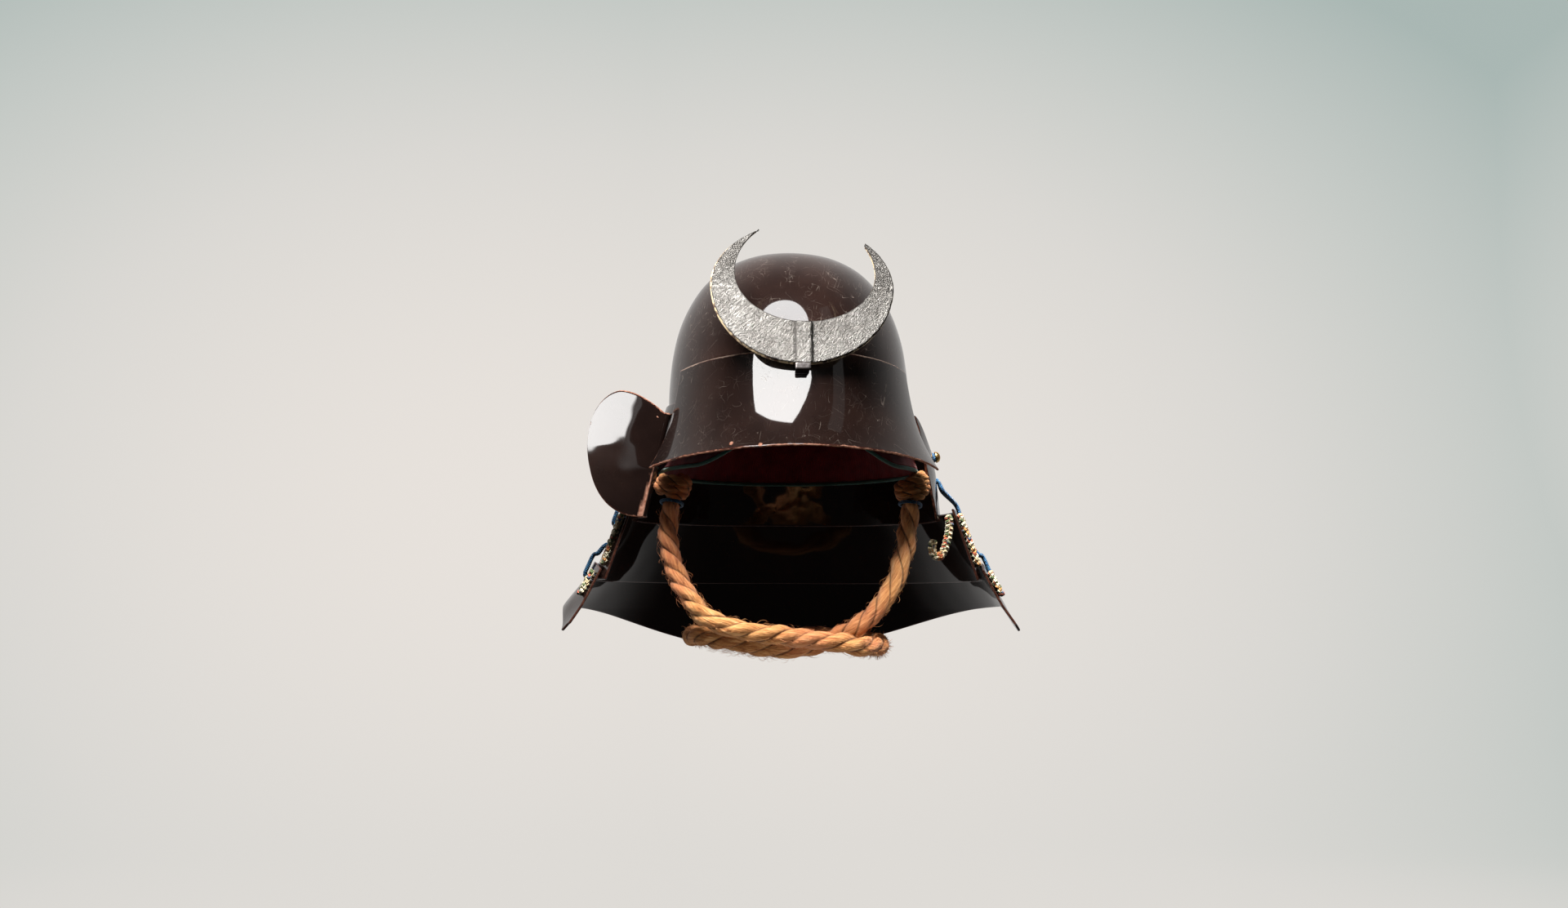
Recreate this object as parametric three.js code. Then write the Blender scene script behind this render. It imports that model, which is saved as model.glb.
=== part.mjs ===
// A samurai helmet: a lacquered bowl, a brow plate with a flared visor, a crescent crest,
// a neck guard of three laced plates with one turned-back ear, and a hemp chin rope.
// Millimetres, +Z up. The face looks along -Y, and +X is on the right as one faces it.
// The origin is the top of the hollow, where the lining rests on the wearer's crown.

import * as THREE from 'three';
import { mergeVertices } from 'three/addons/utils/BufferGeometryUtils.js';

const DEGREE = Math.PI / 180;
const GAP = 0.4; // air between pieces that lie on each other

const BOWL = { top: 5, halfWidth: 111, halfLength: 130, height: 150, power: 2.5, wall: 2.6 };
const LINING = { wall: 2, hemFront: -170, hemSide: -197, flare: 12, frontAngle: 12, sideAngle: 50 };
const BINDING = { radius: 1.8, sides: 5 };

// The brow plate reaches this many degrees to each side of the front.
const BROW = {
  wall: 2.2, reach: 66, topFront: -100, topDrop: 10, bottomFront: -186, bottomDrop: 13.5,
  halfWidth: 112.9, halfLength: 131.2, slope: 15, flare: 16.5,
};

// A plate that runs round the sides and back. Each row gives the plan of its outer face at
// height z: the widest half width, how far forward that is, the depth behind it, the half
// width at the front edge, how far forward the edge is, and how sharply the front curls in.
// The laced plates hang a little to the right, by their shift.
const WAIST_BAND = {
  shift: 0, wall: 2.2, top: -138, bottom: -183,
  rows: [
    { z: -138, half: 113.6, wide: 0, deep: 132.6, edge: 90.7, front: 80, curl: 2.2 },
    { z: -160, half: 120.1, wide: -12, deep: 126, edge: 91.5, front: 80, curl: 1.9 },
    { z: -172, half: 126, wide: -19, deep: 124.5, edge: 94.5, front: 80, curl: 1.7 },
    { z: -183, half: 133, wide: -25, deep: 125, edge: 97.5, front: 80, curl: 1.5 },
  ],
};
const TOP_LAME = {
  shift: 0.5, wall: 2.4, top: -175, bottom: -242, backBottom: -238,
  rows: [
    { z: -147, half: 129, wide: -20, deep: 127, edge: 114, front: 34, curl: 2 },
    { z: -175, half: 136, wide: -25, deep: 128, edge: 120.6, front: 34, curl: 2 },
    { z: -198, half: 140.5, wide: -27, deep: 133, edge: 125, front: 34, curl: 2 },
    { z: -227, half: 143.5, wide: -29, deep: 139, edge: 131.5, front: 32, curl: 2 },
    { z: -242, half: 145.5, wide: -30, deep: 142, edge: 134.8, front: 30, curl: 2 },
  ],
};
const MIDDLE_LAME = {
  shift: 3.5, wall: 2.4, top: -231, bottom: -297.5, backBottom: -294,
  rows: [
    { z: -231, half: 157.5, wide: -40, deep: 142, edge: 150, front: 9, curl: 2 },
    { z: -297.5, half: 185, wide: -40, deep: 164, edge: 173.5, front: 9, curl: 2 },
  ],
};
const BOTTOM_LAME = {
  shift: 4, wall: 2.4, top: -279, topFront: -288, side: -320, back: -362, tip: -352, corner: 14, push: 7,
  rows: [
    { z: -279, half: 183, wide: -45, deep: 159, edge: 173, front: 8, curl: 2 },
    { z: -300, half: 194, wide: -45, deep: 164, edge: 184, front: 10, curl: 2 },
    { z: -321, half: 205, wide: -45, deep: 169, edge: 195, front: 13, curl: 2 },
    { z: -344, half: 214.5, wide: -45, deep: 174, edge: 211, front: 17, curl: 2 },
    { z: -362, half: 220, wide: -45, deep: 178, edge: 216, front: 17, curl: 2 },
  ],
};
const FRONT_SHARE = 0.28; // share of a plate's turn taken by the stretch ahead of its widest

// The ear is the end of the top lame, folded out and swept back. Headings are degrees from
// straight ahead, turning outwards.
const EAR = {
  foldRadius: 2.5, foldFrom: -30, foldTo: 105, sweepTo: 124, length: 71,
  peak: 0.66, top: -125, topRise: 22, endDrop: 28, bottom: -242, bottomEnd: -157,
};

// The crescent is bounded by two ovals. Each is measured from its middle, with one height
// below and one above, and runs from the left tip to the right tip, in degrees from its foot.
const CREST = {
  outer: { x: 0, z: -45, halfWidth: 80, below: 68, above: 59.5, from: -155, to: 136.6 },
  inner: { x: 2.7, z: -33, halfWidth: 62, below: 43.4, above: 53.5, from: -141, to: 122.5 },
  foot: -113, footForward: 146, lean: 3.5, crease: -47, bend: 20,
  face: 1.4, backing: 3, ribHalfAngle: 4.4, ribEdge: 1.1, ribHeight: 3, backingShows: 1.8,
};
const CLIP = { width: 13.5, depth: 5, height: 5, forward: 146.4, top: -113.4 };
const PRONG = { width: 12.6, wall: 2.4, foot: -121.5, forward: 139.8, top: -84 };

const RIVET_TURNS = [-0.74, -0.38, 0, 0.38, 0.74];
const RIVET = { z: -181.5, capRadius: 5.3, neckRadius: 2.2, neck: 3.2, cap: 4.8 };
const RIVET_CORD = { ringRadius: 3.9, radius: 1.3 };

const LACE_TURNS = [-0.78, -0.52, -0.26, 0, 0.26, 0.52, 0.78];
const LACE = { width: 7.6, wall: 2.8, clear: 0.5 };
const BRAID = { width: 9, wall: 3.6, fromEdge: 9 };

const ROPE = { radius: 9.2, sides: 8, steps: 52 };
const KNOT = { halfWidth: 17.5, halfDepth: 14.5, halfHeight: 12.2 };
const ROPE_RING = { radius: 1.3, clear: 0.5 };
const LEFT_KNOT = [-109, -40, -214];
const RIGHT_KNOT = [110, -40, -213.6];
// The chin rope from the left knot, under the chin, round the back of the neck and up again.
const ROPE_ROUTE = [
  [-109.5, -41, -227], [-113, -47, -250], [-112.5, -55, -270], [-108, -63, -289],
  [-101, -75, -307], [-92, -84, -322], [-81, -92, -334], [-62, -99, -342.5],
  [-35, -103, -348], [-4, -105, -351.5], [28, -104, -355.5], [50, -99, -358.5], [68, -81, -359.5],
  [78, -54, -358.5], [79, -22, -356], [70, 9, -353], [52, 32, -350], [27, 46, -349],
  [-4, 50, -349], [-35, 46, -349], [-61, 32, -349], [-80, 9, -349], [-89, -20, -349],
  [-90, -46, -349], [-82, -68, -350.5], [-66, -80, -353.5], [-44, -84.5, -357.5], [-18, -85.5, -361],
  [8, -84.5, -360], [31, -83, -353.5], [50, -81.5, -344.5], [65, -80, -334], [77, -76.5, -321],
  [88, -71, -305], [96, -63, -287], [101.5, -55, -269], [105.5, -48, -250], [108.5, -42, -226.6],
];
// The free end of the right-hand edge braid, inside the middle lame.
const LOOSE_END = { radius: 3.2, sides: 8, steps: 14 };
const LOOSE_ROUTE = [
  [149, -7, -237], [150, -6, -247], [148.5, -5, -258], [145.5, -4, -269], [141, -3.5, -275.5],
  [136, -3, -274], [134, -3, -267], [136, -3, -260],
];

const LOOKS = {
  lacquer: { color: '#1d1513', roughness: 0.22, metalness: 0 },
  redCloth: { color: '#7c1c22', roughness: 0.95, metalness: 0 },
  greenCloth: { color: '#4d6e5a', roughness: 0.95, metalness: 0 },
  silverLeather: { color: '#9b9894', roughness: 0.42, metalness: 0.7 },
  gilt: { color: '#b59a63', roughness: 0.5, metalness: 0.6 },
  steel: { color: '#a8a5a0', roughness: 0.35, metalness: 1 },
  darkIron: { color: '#231c1a', roughness: 0.45, metalness: 0.8 },
  brass: { color: '#b98a3c', roughness: 0.3, metalness: 1 },
  blueSilk: { color: '#2a6c97', roughness: 0.8, metalness: 0 },
  fleckedBraid: { color: '#d8cc9c', roughness: 0.85, metalness: 0 },
  hemp: { color: '#b9793f', roughness: 0.9, metalness: 0 },
};
const MATERIALS = Object.fromEntries(
  Object.entries(LOOKS).map(([name, look]) => [name, new THREE.MeshStandardMaterial({ name, ...look })]),
);

const lerp = THREE.MathUtils.lerp;
const smoothstep = THREE.MathUtils.smoothstep;

function spread(from, to, count) {
  return Array.from({ length: count + 1 }, (_, k) => lerp(from, to, k / count));
}

// A place given as x, how far forward it is, and height.
function place(x, forward, z) {
  return new THREE.Vector3(x, -forward, z);
}

function fromTriangles(corners) {
  const positions = [];
  for (const [a, b, c] of corners) {
    const area = b.clone().sub(a).cross(c.clone().sub(a)).length();
    if (area > 1e-5) positions.push(...a.toArray(), ...b.toArray(), ...c.toArray());
  }
  const geometry = new THREE.BufferGeometry();
  geometry.setAttribute('position', new THREE.Float32BufferAttribute(positions, 3));
  return mergeVertices(geometry, 1e-3);
}

// A closed wall of even thickness. grid[i][j] is a point of its outer face: columns i run
// to the right as seen from outside and rows j run down. A ring joins its last column to
// its first.
function wall(grid, thickness, ring = false) {
  const columns = grid.length;
  const rows = grid[0].length;
  const column = (i) => grid[ring ? (i + columns) % columns : THREE.MathUtils.clamp(i, 0, columns - 1)];
  const behind = (i, j) => {
    const across = column(i + 1)[j].clone().sub(column(i - 1)[j]);
    const down = column(i)[Math.min(j + 1, rows - 1)].clone().sub(column(i)[Math.max(j - 1, 0)]);
    const normal = down.cross(across);
    if (normal.length() < 1e-6) normal.set(0, 0, 1);
    return column(i)[j].clone().addScaledVector(normal.normalize(), -thickness);
  };
  const inner = grid.map((points, i) => points.map((_, j) => behind(i, j)));
  const faces = [];
  const quad = (a, b, c, d) => faces.push([a, b, c], [a, c, d]);
  const spans = ring ? columns : columns - 1;
  for (let i = 0; i < spans; i++) {
    const k = (i + 1) % columns;
    for (let j = 0; j < rows - 1; j++) {
      quad(grid[i][j], grid[i][j + 1], grid[k][j + 1], grid[k][j]);
      quad(inner[i][j], inner[k][j], inner[k][j + 1], inner[i][j + 1]);
    }
    quad(grid[i][0], grid[k][0], inner[k][0], inner[i][0]);
    quad(grid[i][rows - 1], inner[i][rows - 1], inner[k][rows - 1], grid[k][rows - 1]);
  }
  if (!ring) {
    const last = columns - 1;
    for (let j = 0; j < rows - 1; j++) {
      quad(grid[0][j], inner[0][j], inner[0][j + 1], grid[0][j + 1]);
      quad(grid[last][j], grid[last][j + 1], inner[last][j + 1], inner[last][j]);
    }
  }
  return fromTriangles(faces);
}

// A round cord along a curve, cut square at its ends.
function cord(curve, radius, sides, steps) {
  const section = new THREE.Shape(
    spread(0, 2 * Math.PI, sides).slice(0, sides).map(
      (turn) => new THREE.Vector2(radius * Math.cos(turn), radius * Math.sin(turn)),
    ),
  );
  const geometry = new THREE.ExtrudeGeometry(section, { extrudePath: curve, steps });
  return mergeBare(geometry);
}

function mergeBare(geometry) {
  geometry.deleteAttribute('normal');
  geometry.deleteAttribute('uv');
  return mergeVertices(geometry, 1e-3);
}

// Bowl and lining. Both use the same turns and rows, so that their facets stay parallel.

const ROUND_TURNS = spread(0, 2 * Math.PI, 40).slice(0, -1);
const DOME_ROWS = 10;

// A dome of oval plan that ends upright at its foot.
function domeRow(top, height, halfWidth, halfLength, slope) {
  const out = Math.sin(slope) ** (2 / BOWL.power);
  const up = Math.max(0, Math.cos(slope)) ** (2 / BOWL.power);
  return (turn) => place(
    halfWidth * out * Math.sin(turn), halfLength * out * Math.cos(turn), top - height * (1 - up),
  );
}

function bowlGeometry() {
  const slopes = spread(0, Math.PI / 2, DOME_ROWS);
  const rings = slopes.map((slope) => domeRow(BOWL.top, BOWL.height, BOWL.halfWidth, BOWL.halfLength, slope));
  const grid = ROUND_TURNS.map((turn) => rings.map((ring) => ring(turn)));
  return wall(grid, BOWL.wall, true);
}

const LINING_OUT = BOWL.wall + GAP;
const BOWL_FOOT = BOWL.top - BOWL.height;

// The lining's hem hangs lower at the sides and back than over the face.
function hemHeight(turn) {
  const angle = Math.abs(Math.atan2(Math.sin(turn), Math.cos(turn))) / DEGREE;
  return lerp(LINING.hemFront, LINING.hemSide, smoothstep(angle, LINING.frontAngle, LINING.sideAngle));
}

// The outer face of the lining below the bowl's foot.
function liningSkirt(turn, z) {
  const share = (BOWL_FOOT - z) / (BOWL_FOOT - LINING.hemSide);
  const out = LINING.flare * share ** 1.5 - LINING_OUT;
  return place((BOWL.halfWidth + out) * Math.sin(turn), (BOWL.halfLength + out) * Math.cos(turn), z);
}

function liningGeometry(skirtRows = 3) {
  const dome = spread(0, Math.PI / 2, DOME_ROWS).map((slope) => domeRow(
    BOWL.top - LINING_OUT, BOWL.height - LINING_OUT, BOWL.halfWidth - LINING_OUT,
    BOWL.halfLength - LINING_OUT, slope,
  ));
  const grid = ROUND_TURNS.map((turn) => [
    ...dome.map((ring) => ring(turn)),
    ...spread(BOWL_FOOT, hemHeight(turn), skirtRows).slice(1).map((z) => liningSkirt(turn, z)),
  ]);
  return wall(grid, LINING.wall, true);
}

// The cloth edge under the hem, a closed ring of round section.
function bindingGeometry() {
  const faces = [];
  const rings = ROUND_TURNS.map((turn) => {
    const hem = liningSkirt(turn, hemHeight(turn));
    const outward = place(Math.sin(turn), Math.cos(turn), 0);
    const middle = hem.addScaledVector(outward, -LINING.wall / 2);
    middle.z -= BINDING.radius + GAP;
    return spread(0, 2 * Math.PI, BINDING.sides).slice(0, BINDING.sides).map((angle) => middle.clone()
      .addScaledVector(outward, BINDING.radius * Math.cos(angle))
      .add(place(0, 0, BINDING.radius * Math.sin(angle))));
  });
  for (let i = 0; i < rings.length; i++) {
    const next = rings[(i + 1) % rings.length];
    for (let k = 0; k < BINDING.sides; k++) {
      const m = (k + 1) % BINDING.sides;
      faces.push([rings[i][k], next[k], next[m]], [rings[i][k], next[m], rings[i][m]]);
    }
  }
  return fromTriangles(faces);
}

// Brow plate

function browPoint(turn, share) {
  const off = Math.abs(turn) / (BROW.reach * DEGREE);
  const top = BROW.topFront - BROW.topDrop * off ** 2;
  const bottom = BROW.bottomFront - BROW.bottomDrop * off ** 1.7;
  const out = BROW.slope * share + BROW.flare * share ** 3;
  return place(
    (BROW.halfWidth + out) * Math.sin(turn), (BROW.halfLength + 0.85 * out) * Math.cos(turn),
    lerp(top, bottom, share),
  );
}

function browGeometry(columns = 26, rows = 7) {
  const reach = BROW.reach * DEGREE;
  const turns = spread(-reach, reach, columns);
  const grid = turns.map((turn) => spread(0, 1, rows).map((share) => browPoint(turn, share)));
  return wall(grid, BROW.wall);
}

// Waist band and neck guard

function rowAt(rows, z) {
  const above = rows.filter((row) => row.z > z).length;
  const below = THREE.MathUtils.clamp(above, 1, rows.length - 1);
  const [a, b] = [rows[below - 1], rows[below]];
  const share = (z - a.z) / (b.z - a.z);
  return Object.fromEntries(Object.keys(a).map((key) => [key, lerp(a[key], b[key], share)]));
}

// A point of a plate's outer face. The turn is 1 at its right front edge, 0 at the back and
// -1 at its left front edge.
function platePoint(plate, turn, z) {
  const row = rowAt(plate.rows, z);
  const ahead = (Math.abs(turn) - (1 - FRONT_SHARE)) / FRONT_SHARE;
  // A push widens the left side, most where the plate is widest and not at its front edge.
  const low = THREE.MathUtils.smoothstep(-z, 290, 325);
  const aside = THREE.MathUtils.smoothstep(-turn, 0.42, 1 - FRONT_SHARE) * (1 - Math.max(0, ahead) ** 2);
  row.half += (plate.push ?? 0) * low * aside;
  if (ahead > 0) {
    const x = row.half - (row.half - row.edge) * ahead ** row.curl;
    return place(plate.shift + Math.sign(turn) * x, lerp(row.wide, row.front, ahead), z);
  }
  const angle = (turn / (1 - FRONT_SHARE)) * (Math.PI / 2);
  return place(plate.shift + row.half * Math.sin(angle), row.wide - row.deep * Math.cos(angle), z);
}

function plateTurns(back = 20, front = 4) {
  const middle = 1 - FRONT_SHARE;
  return [
    ...spread(1, middle, front),
    ...spread(middle, -middle, back).slice(1),
    ...spread(-middle, -1, front).slice(1),
  ];
}

function plateGeometry(plate, topAt, bottomAt, rows, turns = plateTurns()) {
  const column = (turn) => spread(topAt(turn), bottomAt(turn), rows).map((z) => platePoint(plate, turn, z));
  return wall(turns.map(column), plate.wall);
}

function waistBandGeometry() {
  return plateGeometry(WAIST_BAND, () => WAIST_BAND.top, () => WAIST_BAND.bottom, 3);
}

// How far along the stretch from the widest place to the front edge, 0 to 1.
function aheadShare(turn) {
  return Math.max(0, (Math.abs(turn) - (1 - FRONT_SHARE)) / FRONT_SHARE);
}

// Along the folded ear a heading of 0 points ahead and 90 points outwards, to the left.
function bend(start, radius, from, to) {
  return {
    x: start.x + radius * (Math.cos(to * DEGREE) - Math.cos(from * DEGREE)),
    forward: start.forward + radius * (Math.sin(to * DEGREE) - Math.sin(from * DEGREE)),
  };
}

function earTop(share) {
  if (share < EAR.peak) return EAR.top - EAR.topRise * ((EAR.peak - share) / EAR.peak) ** 1.6;
  const over = (share - EAR.peak) / (1 - EAR.peak);
  return EAR.top - EAR.endDrop * (1 - Math.sqrt(Math.max(0, 1 - over ** 2)));
}

function earBottom(share) {
  return EAR.bottomEnd - (EAR.bottomEnd - EAR.bottom) * (1 - share ** 2) ** (1 / 1.8);
}

function topLameGeometry(rows = 6) {
  const topAt = (turn) => lerp(TOP_LAME.top, earTop(0), smoothstep(aheadShare(turn), 0.45, 1));
  const bottomAt = (turn) => lerp(TOP_LAME.backBottom, TOP_LAME.bottom, Math.abs(turn));
  const lame = plateTurns().map((turn) => spread(topAt(turn), bottomAt(turn), rows)
    .map((z) => platePoint(TOP_LAME, turn, z)));
  const edge = (z) => {
    const row = rowAt(TOP_LAME.rows, z);
    return { x: TOP_LAME.shift - row.edge, forward: row.front };
  };
  const folded = (heading, z) => bend(edge(z), EAR.foldRadius, EAR.foldFrom, heading);
  const sweepRadius = EAR.length / ((EAR.sweepTo - EAR.foldTo) * DEGREE);
  const fold = spread(EAR.foldFrom, EAR.foldTo, 5).slice(1).map((heading) => (
    spread(earTop(0), EAR.bottom, rows).map((z) => {
      const point = folded(heading, z);
      return place(point.x, point.forward, z);
    })));
  const shares = spread(0, Math.PI / 2, 9).slice(1).map((angle) => Math.min(0.996, Math.sin(angle)));
  const ear = shares.map((share) => spread(earTop(share), earBottom(share), rows).map((z) => {
    const heading = lerp(EAR.foldTo, EAR.sweepTo, share);
    const point = bend(folded(EAR.foldTo, z), sweepRadius, EAR.foldTo, heading);
    return place(point.x, point.forward, z);
  }));
  return wall([...lame, ...fold, ...ear], TOP_LAME.wall);
}

function middleLameGeometry() {
  const bottomAt = (turn) => lerp(MIDDLE_LAME.backBottom, MIDDLE_LAME.bottom, Math.abs(turn));
  return plateGeometry(MIDDLE_LAME, () => MIDDLE_LAME.top, bottomAt, 2);
}

// The lower edge is arched over the shoulders, dips at the back and hangs in a point in front.
function bottomLameFoot(turn) {
  const ahead = aheadShare(turn);
  if (ahead > 0) {
    const corner = BOTTOM_LAME.corner * THREE.MathUtils.smoothstep(ahead, 0.8, 1);
    return lerp(BOTTOM_LAME.side, BOTTOM_LAME.tip, ahead ** 1.3) + corner;
  }
  const angle = (turn / (1 - FRONT_SHARE)) * (Math.PI / 2);
  return lerp(BOTTOM_LAME.side, BOTTOM_LAME.back, Math.cos(angle) ** 3.4);
}

function bottomLameGeometry() {
  const topAt = (turn) => lerp(BOTTOM_LAME.top, BOTTOM_LAME.topFront, aheadShare(turn) ** 2);
  return plateGeometry(BOTTOM_LAME, topAt, bottomLameFoot, 5, plateTurns(24, 7));
}

// Crest

function ovalPoint(oval, share, grow = 0) {
  const angle = lerp(oval.from, oval.to, share) * DEGREE;
  const lift = Math.cos(angle) > 0 ? oval.below + grow : oval.above;
  return { x: oval.x + (oval.halfWidth + grow / 2) * Math.sin(angle), z: oval.z - lift * Math.cos(angle) };
}

// How far forward the front of the crest stands at a height.
function crestForward(z) {
  const tilt = Math.tan(CREST.lean * DEGREE) * (Math.min(z, CREST.crease) - CREST.foot);
  return CREST.footForward - tilt - Math.tan(CREST.bend * DEGREE) * Math.max(0, z - CREST.crease);
}

function crestGrid(shares, rows, ahead, grow = 0) {
  return shares.map((share) => {
    const outer = ovalPoint(CREST.outer, share, grow);
    const inner = ovalPoint(CREST.inner, share);
    return spread(0, 1, rows).map((down) => {
      const x = lerp(inner.x, outer.x, down);
      const z = lerp(inner.z, outer.z, down);
      return place(x, crestForward(z) + ahead(share), z);
    });
  });
}

function crestShare(angle) {
  return (angle - CREST.outer.from) / (CREST.outer.to - CREST.outer.from);
}

function crestFaceGeometry() {
  const rib = [-CREST.ribHalfAngle, CREST.ribHalfAngle - CREST.ribEdge];
  const edges = [rib[0], -rib[1], rib[1], -rib[0]].map(crestShare);
  const shares = [
    ...spread(0.01, edges[0], 13), ...edges.slice(1, 3), ...spread(edges[3], 0.99, 13),
  ];
  const raised = (share) => (share > edges[0] + 1e-6 && share < edges[3] - 1e-6 ? CREST.ribHeight : 0);
  return wall(crestGrid(shares, 3, raised), CREST.face);
}

function crestBackingGeometry() {
  const back = () => -CREST.face - 2.5 * GAP;
  return wall(crestGrid(spread(0.015, 0.985, 26), 2, back, CREST.backingShows), CREST.backing);
}

function clipGeometry() {
  const geometry = new THREE.BoxGeometry(CLIP.width, CLIP.depth, CLIP.height);
  geometry.translate(0, -CLIP.forward, CLIP.top - CLIP.height / 2);
  return mergeBare(geometry);
}

// A strap that stands out from the brow plate and turns up behind the crest.
function prongGeometry() {
  const shareAtFoot = (BROW.topFront - PRONG.foot) / (BROW.topFront - BROW.bottomFront);
  const plate = -browPoint(0, shareAtFoot).y + GAP;
  const route = [
    [plate, PRONG.foot - 0.6], [lerp(plate, PRONG.forward, 0.6), PRONG.foot],
    [PRONG.forward, PRONG.foot + 3], [PRONG.forward, PRONG.foot + 8],
    [crestForward(PRONG.top) - CREST.face - CREST.backing - 4.5 * GAP, PRONG.top],
  ];
  const half = PRONG.width / 2;
  const down = route.reverse();
  return wall([-half, half].map((x) => down.map(([forward, z]) => place(x, forward, z))), PRONG.wall);
}

// Rivets and lacing

function outwardAt(plate, turn, z) {
  const here = platePoint(plate, turn, z);
  const right = platePoint(plate, turn - 0.01, z).sub(platePoint(plate, turn + 0.01, z));
  const down = platePoint(plate, turn, z - 1).sub(platePoint(plate, turn, z + 1));
  return { here, outward: down.cross(right).normalize(), right: right.normalize() };
}

function turnedOut(geometry, here, outward) {
  geometry.applyQuaternion(new THREE.Quaternion().setFromUnitVectors(new THREE.Vector3(0, 0, 1), outward));
  geometry.translate(...here.toArray());
  return mergeBare(geometry);
}

function rivetGeometry(turn) {
  const { here, outward } = outwardAt(TOP_LAME, turn, RIVET.z);
  const base = RIVET.neck + GAP;
  const dome = spread(0, Math.PI / 2, 3).map((angle) => (
    [RIVET.capRadius * Math.cos(angle), base + RIVET.cap * Math.sin(angle)]));
  const top = [0, base + RIVET.cap];
  const profile = [[0, GAP], [RIVET.neckRadius, GAP], [RIVET.neckRadius, base], ...dome.slice(0, -1), top];
  const geometry = new THREE.LatheGeometry(profile.map(([r, up]) => new THREE.Vector2(r, up)), 10);
  geometry.rotateX(Math.PI / 2);
  return turnedOut(geometry, here, outward);
}

function rivetCordGeometry(turn) {
  const { here, outward } = outwardAt(TOP_LAME, turn, RIVET.z);
  const geometry = new THREE.TorusGeometry(RIVET_CORD.ringRadius, RIVET_CORD.radius, 5, 10);
  return turnedOut(geometry, here.addScaledVector(outward, RIVET_CORD.radius + GAP), outward);
}

// A flat band along a route given by its outer face, each place with its own sideways way.
function strap(route, width, thickness) {
  const edge = (aside) => route.map(({ here, right }) => here.clone().addScaledVector(right, aside));
  return wall([edge(-width / 2), edge(width / 2)], thickness);
}

// A pair of laces from a hole in the upper plate, over the top edge of the lower one and
// into its hole. Each stop names a plate, a height and how far out the lace's back lies.
function laceGeometry(turn, stops) {
  const route = stops.map(({ plate, z, out }) => {
    const { outward, right } = outwardAt(plate, turn, z);
    return { here: platePoint(plate, turn, z).addScaledVector(outward, out + LACE.wall), right };
  });
  return strap(route, LACE.width, LACE.wall);
}

function laceStops(upper, lower, hole) {
  return [
    { plate: upper, z: hole, out: LACE.clear }, { plate: upper, z: hole - 9, out: 5 },
    { plate: lower, z: lower.top + 5, out: 3 }, { plate: lower, z: lower.top - 6, out: 1.4 },
    { plate: lower, z: lower.top - 15, out: LACE.clear },
  ];
}

// A flat braid down the outside of a plate, beside its front edge.
function edgeBraidGeometry(plate, sign, from, to) {
  const row = rowAt(plate.rows, from);
  const turn = sign * (1 - (FRONT_SHARE * BRAID.fromEdge) / (row.front - row.wide));
  const route = spread(from, to, 5).map((z) => {
    const { here, outward, right } = outwardAt(plate, turn, z);
    return { here: here.addScaledVector(outward, GAP + BRAID.wall), right };
  });
  return strap(route, BRAID.width, BRAID.wall);
}

// Chin rope

function routeCurve(route) {
  const points = route.map((point) => new THREE.Vector3(...point));
  return new THREE.CatmullRomCurve3(points, false, 'centripetal');
}

function knotGeometry(centre) {
  const geometry = new THREE.SphereGeometry(1, 10, 7);
  geometry.rotateX(Math.PI / 2);
  geometry.scale(KNOT.halfWidth, KNOT.halfDepth, KNOT.halfHeight);
  geometry.translate(...centre);
  return mergeBare(geometry);
}

// A cord ring round the rope, a little way below its knot.
function ropeRingGeometry(curve, share) {
  const ringRadius = ROPE.radius + ROPE_RING.radius + ROPE_RING.clear;
  const ring = new THREE.TorusGeometry(ringRadius, ROPE_RING.radius, 5, 12);
  return turnedOut(ring, curve.getPointAt(share), curve.getTangentAt(share));
}

// Assembly

const helmet = new THREE.Group();

function add(name, geometry, material) {
  const mesh = new THREE.Mesh(geometry, MATERIALS[material]);
  mesh.name = name;
  helmet.add(mesh);
}

add('bowl', bowlGeometry(), 'lacquer');
add('lining', liningGeometry(), 'redCloth');
add('lining_binding', bindingGeometry(), 'greenCloth');
add('brow_plate', browGeometry(), 'lacquer');
add('waist_band', waistBandGeometry(), 'lacquer');
add('top_lame', topLameGeometry(), 'lacquer');
add('middle_lame', middleLameGeometry(), 'lacquer');
add('bottom_lame', bottomLameGeometry(), 'lacquer');

add('crest_face', crestFaceGeometry(), 'silverLeather');
add('crest_backing', crestBackingGeometry(), 'gilt');
add('crest_clip', clipGeometry(), 'steel');
add('crest_prong', prongGeometry(), 'darkIron');

RIVET_TURNS.forEach((turn, k) => {
  add(`rivet_${k + 1}`, rivetGeometry(turn), 'brass');
  add(`rivet_cord_${k + 1}`, rivetCordGeometry(turn), 'blueSilk');
});

const UPPER_STOPS = laceStops(TOP_LAME, MIDDLE_LAME, -203);
const LOWER_STOPS = laceStops(MIDDLE_LAME, BOTTOM_LAME, -264);
LACE_TURNS.forEach((turn, k) => {
  add(`upper_lace_${k + 1}`, laceGeometry(turn, UPPER_STOPS), 'blueSilk');
  add(`lower_lace_${k + 1}`, laceGeometry(turn, LOWER_STOPS), 'blueSilk');
});

for (const [side, sign] of [['left', -1], ['right', 1]]) {
  add(`middle_braid_${side}`, edgeBraidGeometry(MIDDLE_LAME, sign, -237, -284), 'fleckedBraid');
  add(`bottom_braid_${side}`, edgeBraidGeometry(BOTTOM_LAME, sign, -291, -312), 'fleckedBraid');
}
const looseCurve = routeCurve(LOOSE_ROUTE);
add('braid_loose_end', cord(looseCurve, LOOSE_END.radius, LOOSE_END.sides, LOOSE_END.steps), 'fleckedBraid');

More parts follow.
